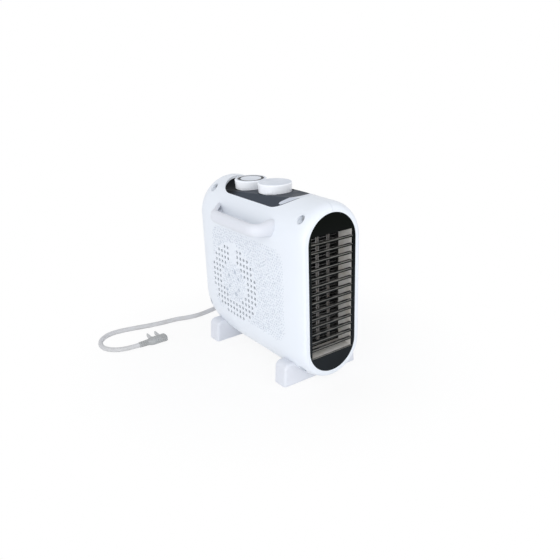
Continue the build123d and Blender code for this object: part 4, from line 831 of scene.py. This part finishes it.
# %% Table of plastics
finishes = {
    "casing": plastic("casing_white", (0.80, 0.84, 0.89), (0.76, 0.79, 0.84), patch=0.09,
                      grain_height=0.012, dusty=0.03, coat=0.15),
    "grey_white": plastic("fitting_white", (0.73, 0.75, 0.80), (0.68, 0.70, 0.75), patch=0.05,
                          rough=(0.42, 0.52), grain_height=0.018, dusty=0.05),
    "knob": plastic("knob_satin", (0.95, 0.97, 1.0), (0.90, 0.92, 0.96), patch=0.03, rough=(0.32, 0.42),
                    grain_height=0.008, flow=0.02, dusty=0.05, coat=0.2, pattern=knob_cap_painted_shade),
    "black_panel": plastic("panel_black", (0.002, 0.003, 0.002), (0.006, 0.006, 0.006), share=0.3,
                           patch=0.06, rough=(0.34, 0.44), dusty=0.32, specular=0.03,
                           pattern=panel_painted_light),
    "dark_panel": plastic("dish_slate", (0.050, 0.060, 0.076), (0.060, 0.070, 0.086), share=0.1,
                          patch=0.03, rough=(0.42, 0.55), grain_height=0.03, dusty=0.01,
                          specular=0.05, pattern=dish_painted_shade),
    "label": plastic("label_foil", (0.52, 0.56, 0.64), (0.68, 0.71, 0.78), share=0.6, patch=0.02,
                     rough=(0.28, 0.36), flow=0.03, dusty=0.04, pattern=foil_painted_glare),
    "knob_black": plastic("ring_black", (0.008, 0.009, 0.012), (0.018, 0.018, 0.02), share=0.4, patch=0.01,
                          rough=(0.3, 0.4), dusty=0.03, specular=0.06),
    "lining": plastic("lining_tan", (0.80, 0.78, 0.75), (0.70, 0.67, 0.62), share=0.5, patch=0.03,
                      rough=(0.7, 0.8), grain_height=0.05, dusty=0.1, pattern=heat_brown),
    "element_frame": plastic("frame_dark", (0.022, 0.018, 0.015), (0.04, 0.032, 0.026), share=0.5,
                             patch=0.02, rough=(0.6, 0.7), grain_height=0.04, dusty=0.15,
                             specular=0.25),
    "inner_plastic": plastic("inner_grey", (0.035, 0.035, 0.033), (0.055, 0.053, 0.048), share=0.4,
                             patch=0.04, rough=(0.5, 0.6), grain_height=0.03, dusty=0.2,
                             specular=0.25),
    "fan_plastic": plastic("fan_dark", (0.014, 0.014, 0.016), (0.03, 0.03, 0.03), share=0.5, patch=0.02,
                           rough=(0.45, 0.58), grain_height=0.02, dusty=0.25),
    "rubber_pad": plastic("pad_rubber", (0.012, 0.012, 0.012), (0.03, 0.029, 0.027), share=0.6, patch=0.008,
                          rough=(0.75, 0.88), grain_size=0.0003, grain_height=0.06, dusty=0.1, specular=0.25),
    "cord": plastic("sheath_grey", (0.63, 0.63, 0.64), (0.53, 0.53, 0.52), share=0.5, patch=0.02,
                    rough=(0.45, 0.58), grain_size=0.0009, grain_height=0.03, flow=0.10, dusty=0.06),
    "plug": plastic("plug_grey", (0.42, 0.43, 0.43), (0.34, 0.34, 0.33), share=0.5, patch=0.02,
                    rough=(0.48, 0.6), grain_height=0.03, dusty=0.06),
}
print(len(finishes), "plastics")

# %% [markdown]
# ## Metals
# Zinc plating shows a faint cloud of crystals, rolled aluminium has streaks along the roll,
# and a bush pressed from bronze powder is full of fine pores. Each metal is one pattern that
# drives its tone, its gloss and its relief together, as the real surface does.

# %% Metals
def zinc(name):
    """Plated steel: crystal clouds in its tone and gloss."""
    material, tree, shader = new_material(name, 0.36, 0.5, 1.0)
    cells = add(tree, "ShaderNodeTexVoronoi")
    cells.inputs["Scale"].default_value = 900
    feed(tree, cells.inputs["Vector"], object_place(tree))
    cloud = maths(tree, "MULTIPLY", cells.outputs["Distance"], noise(tree, 0.004, 3.0))
    share = spread(tree, cloud, 0.1, 0.5)
    surface(tree, shader,
            blend_colour(tree, share, (0.42, 0.43, 0.45, 1), (0.66, 0.67, 0.68, 1)),
            spread(tree, share, 0.0, 1.0, 0.30, 0.46),
            maths(tree, "MULTIPLY", cloud, 0.01))
    return material


def rolled(name):
    """Thin aluminium: streaks along the roll, its colour darkened as painted shade for fins deep in the
    outlet.
    """
    material, tree, shader = new_material(name, 0.4, 0.5, 1.0)
    stretch = add(tree, "ShaderNodeMapping")
    stretch.inputs["Scale"].default_value = (1.0, 12.0, 12.0)
    feed(tree, stretch.inputs["Vector"], object_place(tree))
    streak = noise(tree, 0.004, 4.0, stretch.outputs["Vector"])
    share = spread(tree, streak, 0.35, 0.68)
    # painted shade: the metal's colour is darkened for its place deep in the outlet
    surface(tree, shader,
            blend_colour(tree, share, (0.16, 0.16, 0.16, 1), (0.40, 0.40, 0.40, 1)),
            spread(tree, streak, 0.3, 0.7, 0.32, 0.5),
            maths(tree, "MULTIPLY", streak, 0.02))
    return material


def sintered(name):
    """Bronze pressed from powder and soaked in oil: dark pores in a warm metal."""
    material, tree, shader = new_material(name, 0.45, 0.5, 1.0)
    pores = noise(tree, 0.0006, 6.0)
    share = spread(tree, pores, 0.36, 0.5)
    surface(tree, shader,
            blend_colour(tree, share, (0.10, 0.06, 0.03, 1), (0.50, 0.33, 0.16, 1)),
            spread(tree, pores, 0.3, 0.6, 0.65, 0.4),
            maths(tree, "MULTIPLY", share, 0.04))
    return material


finishes["steel"] = zinc("steel_zinc")
finishes["aluminium"] = rolled("aluminium_rolled")
finishes["bronze"] = sintered("bronze_sintered")
print("metals ready")

# %% [markdown]
# ## Ceramic, winding and strap
# The heating plates are fired from powder, so their dark body carries pale and rusty specks.
# The winding is ridged where wire lies under its tape, and the strap is woven. Both are close
# ridges across one axis, so one recipe serves the two.

# %% Ceramic, winding and strap
def fired(name):
    """Fired ceramic: a dark body with pale and rusty specks."""
    material, tree, shader = new_material(name, 0.62, 0.35)
    pale = spread(tree, noise(tree, 0.0009, 5.0), 0.56, 0.64)
    rusty = spread(tree, noise(tree, 0.003, 3.0), 0.55, 0.7)
    body = blend_colour(tree, rusty, (0.10, 0.09, 0.085, 1), (0.15, 0.10, 0.07, 1))
    surface(tree, shader,
            blend_colour(tree, pale, body, (0.30, 0.29, 0.27, 1)),
            spread(tree, pale, 0.0, 1.0, 0.68, 0.5),
            maths(tree, "MULTIPLY", pale, 0.03))
    return material


def striped(name, colour, groove, axis, pitch, depth, rough):
    """Close ridges across one axis: wire under tape, or a woven strap."""
    material, tree, shader = new_material(name, rough, 0.4)
    turns = maths(tree, "SINE", maths(tree, "MULTIPLY", along_axis(tree, axis), 2 * math.pi / pitch))
    wander = noise(tree, pitch * 3, 3.0)
    ridge = maths(tree, "MULTIPLY", maths(tree, "ADD", turns, 1.0), maths(tree, "ADD", wander, 0.25))
    share = spread(tree, ridge, 0.1, 1.2)
    surface(tree, shader,
            blend_colour(tree, share, (*groove, 1), (*colour, 1)),
            spread(tree, share, 0.0, 1.0, rough + 0.15, rough),
            maths(tree, "MULTIPLY", ridge, depth))
    return material


finishes["stone"] = fired("ceramic_fired")
finishes["copper_coil"] = striped("winding_tape", (0.36, 0.12, 0.04), (0.10, 0.03, 0.012),
                                  "X", pitch=0.0008, depth=0.06, rough=0.35)
finishes["tie"] = striped("strap_weave", (0.035, 0.035, 0.037), (0.008, 0.008, 0.009),
                          "Y", pitch=0.0007, depth=0.08, rough=0.75)
print("ceramic, winding and strap ready")

# %% [markdown]
# ## Dressing the pieces
# Each solid names its own finish, and the added pieces follow. The drops and dimples belong
# to the casing's moulding, but are painted a shade darker than its white: painted shade round
# the raised drops and inside the shallow cups, which makes both read as pale grey.

# %% Dress every piece
# painted shade: the drops and dimples get greyer whites than the casing around them
finishes["drop"] = plastic("drop_painted_shade", (0.67, 0.71, 0.77), (0.51, 0.55, 0.61), share=0.7, patch=0.008,
                           rough=(0.45, 0.6), dusty=0.0)
finishes["dimple"] = plastic("dimple_painted_shade", (0.50, 0.55, 0.62), (0.42, 0.46, 0.52), share=0.4, patch=0.01,
                             rough=(0.5, 0.6), dusty=0.0)


def dress(piece, material):
    """The same finish on every slot of a piece."""
    if not piece.material_slots:
        piece.data.materials.append(material)
    for entry in piece.material_slots:
        entry.material = material


for subpart in frame["record"]["subparts"]:
    dress(nodes[subpart["node"]], finishes[subpart["material_slot"]])
added = [(mains_lead, "cord"), (cord_gland, "plug"), (plug_shell, "plug"), (strap_tie, "tie"),
         (side_drops[0], "drop"), (side_drops[1], "drop"), (hub_dimples, "dimple"),
         (switch_ring, "knob_black")]
for piece, finish in added:
    dress(piece, finishes[finish])
print("dressed", len(nodes), "solid pieces and", len(added), "added pieces")

# %% [markdown]
# ## Studio
# The heater stands on white paper that runs on past the edge of the picture. Close to it the
# paper is lit like anything else, so it keeps the soft shadow under the feet; further out it
# glows white by itself, so no extra light is needed for a clean background.

# %% Paper floor
GLOW_START = 0.12
GLOW_END = 0.32
GLOW_LEAST = 0.86
PAPER_REACH = 9
paper_mesh = bpy.data.meshes.new("paper_floor")
paper_corners = [(x * PAPER_REACH, y * PAPER_REACH, 0) for x, y in ((-1, -1), (1, -1), (1, 1), (-1, 1))]
paper_mesh.from_pydata(paper_corners, [], [(0, 1, 2, 3)])
paper = bpy.data.objects.new("paper_floor", paper_mesh)
bpy.context.collection.objects.link(paper)


def seen(tree):
    """1 for rays that show a surface to the camera, straight, mirrored or through glass."""
    path = add(tree, "ShaderNodeLightPath")
    both = maths(tree, "MAXIMUM", path.outputs["Is Camera Ray"], path.outputs["Is Glossy Ray"])
    return maths(tree, "MAXIMUM", both, path.outputs["Is Transmission Ray"])


paper_white, tree, shader = new_material("paper_white", 0.95, 0.0)
out = tree.nodes["Material Output"]
fibre = spread(tree, noise(tree, 0.004, 4.0), 0.3, 0.7)
paper_tone = blend_colour(tree, fibre, (0.93, 0.93, 0.93, 1), (0.95, 0.95, 0.95, 1))
feed(tree, shader.inputs["Base Color"], paper_tone)
reach = add(tree, "ShaderNodeVectorMath", operation="LENGTH")
feed(tree, reach.inputs[0], object_place(tree))
far = spread(tree, reach.outputs["Value"], GLOW_START, GLOW_END, GLOW_LEAST, 1.0)
glow = add(tree, "ShaderNodeEmission")
lit = add(tree, "ShaderNodeMixShader")
feed(tree, lit.inputs[0], maths(tree, "MULTIPLY", far, seen(tree)))
feed(tree, lit.inputs[1], shader.outputs["BSDF"])
feed(tree, lit.inputs[2], glow.outputs["Emission"])
feed(tree, out.inputs["Surface"], lit.outputs["Shader"])
paper_mesh.materials.append(paper_white)
print("paper floor, glowing from", GLOW_START, "to", GLOW_END, "m")

# %% [markdown]
# ## World and lamps
# The world looks white but lights the object more gently, and a little more from the horizon
# than from overhead. A soft box at the left lights the side wall, and a weaker one fills the
# front, so the corner between them still reads.

# %% World and lamps
WORLD_LEVEL = 0.82
world = bpy.data.worlds.new("studio_world")
bpy.context.scene.world = world
world.use_nodes = True
tree = world.node_tree
tree.nodes.clear()
soft = add(tree, "ShaderNodeBackground")
sky = add(tree, "ShaderNodeSeparateXYZ")
feed(tree, sky.inputs[0], add(tree, "ShaderNodeTexCoord").outputs["Generated"])
overhead = spread(tree, sky.outputs["Z"], 0.1, 0.9)
sky_tone = blend_colour(tree, overhead, (0.98, 0.98, 1.0, 1), (0.88, 0.90, 0.94, 1))
feed(tree, soft.inputs["Color"], sky_tone)
soft.inputs["Strength"].default_value = WORLD_LEVEL
white = add(tree, "ShaderNodeBackground")
white.inputs["Color"].default_value = (1, 1, 1, 1)
white.inputs["Strength"].default_value = 1
lit = add(tree, "ShaderNodeMixShader")
feed(tree, lit.inputs[0], seen(tree))
feed(tree, lit.inputs[1], soft.outputs[0])
feed(tree, lit.inputs[2], white.outputs[0])
feed(tree, add(tree, "ShaderNodeOutputWorld").inputs["Surface"], lit.outputs["Shader"])


def lamp(name, place, width, power, colour=(1, 1, 1)):
    """A square soft box that looks at the middle of the casing; it stays at its place."""
    data = bpy.data.lights.new(name, "AREA")
    data.size = width
    data.energy = power
    data.color = colour
    made = bpy.data.objects.new(name, data)
    bpy.context.collection.objects.link(made)
    made.location = place
    made.rotation_euler = (LAMP_TARGET - Vector(place)).to_track_quat("-Z", "Y").to_euler()


LAMP_TARGET = Vector((0, 0, 0.12))
lamp("key_lamp", (-1.1, -0.8, 0.55), 1.1, 7.0, (0.97, 0.98, 1.0))
lamp("front_lamp", (0.35, -1.4, 0.35), 1.1, 3.4)
bpy.context.scene.view_settings.view_transform = "Standard"
print("world level", WORLD_LEVEL, "and two soft lamps")
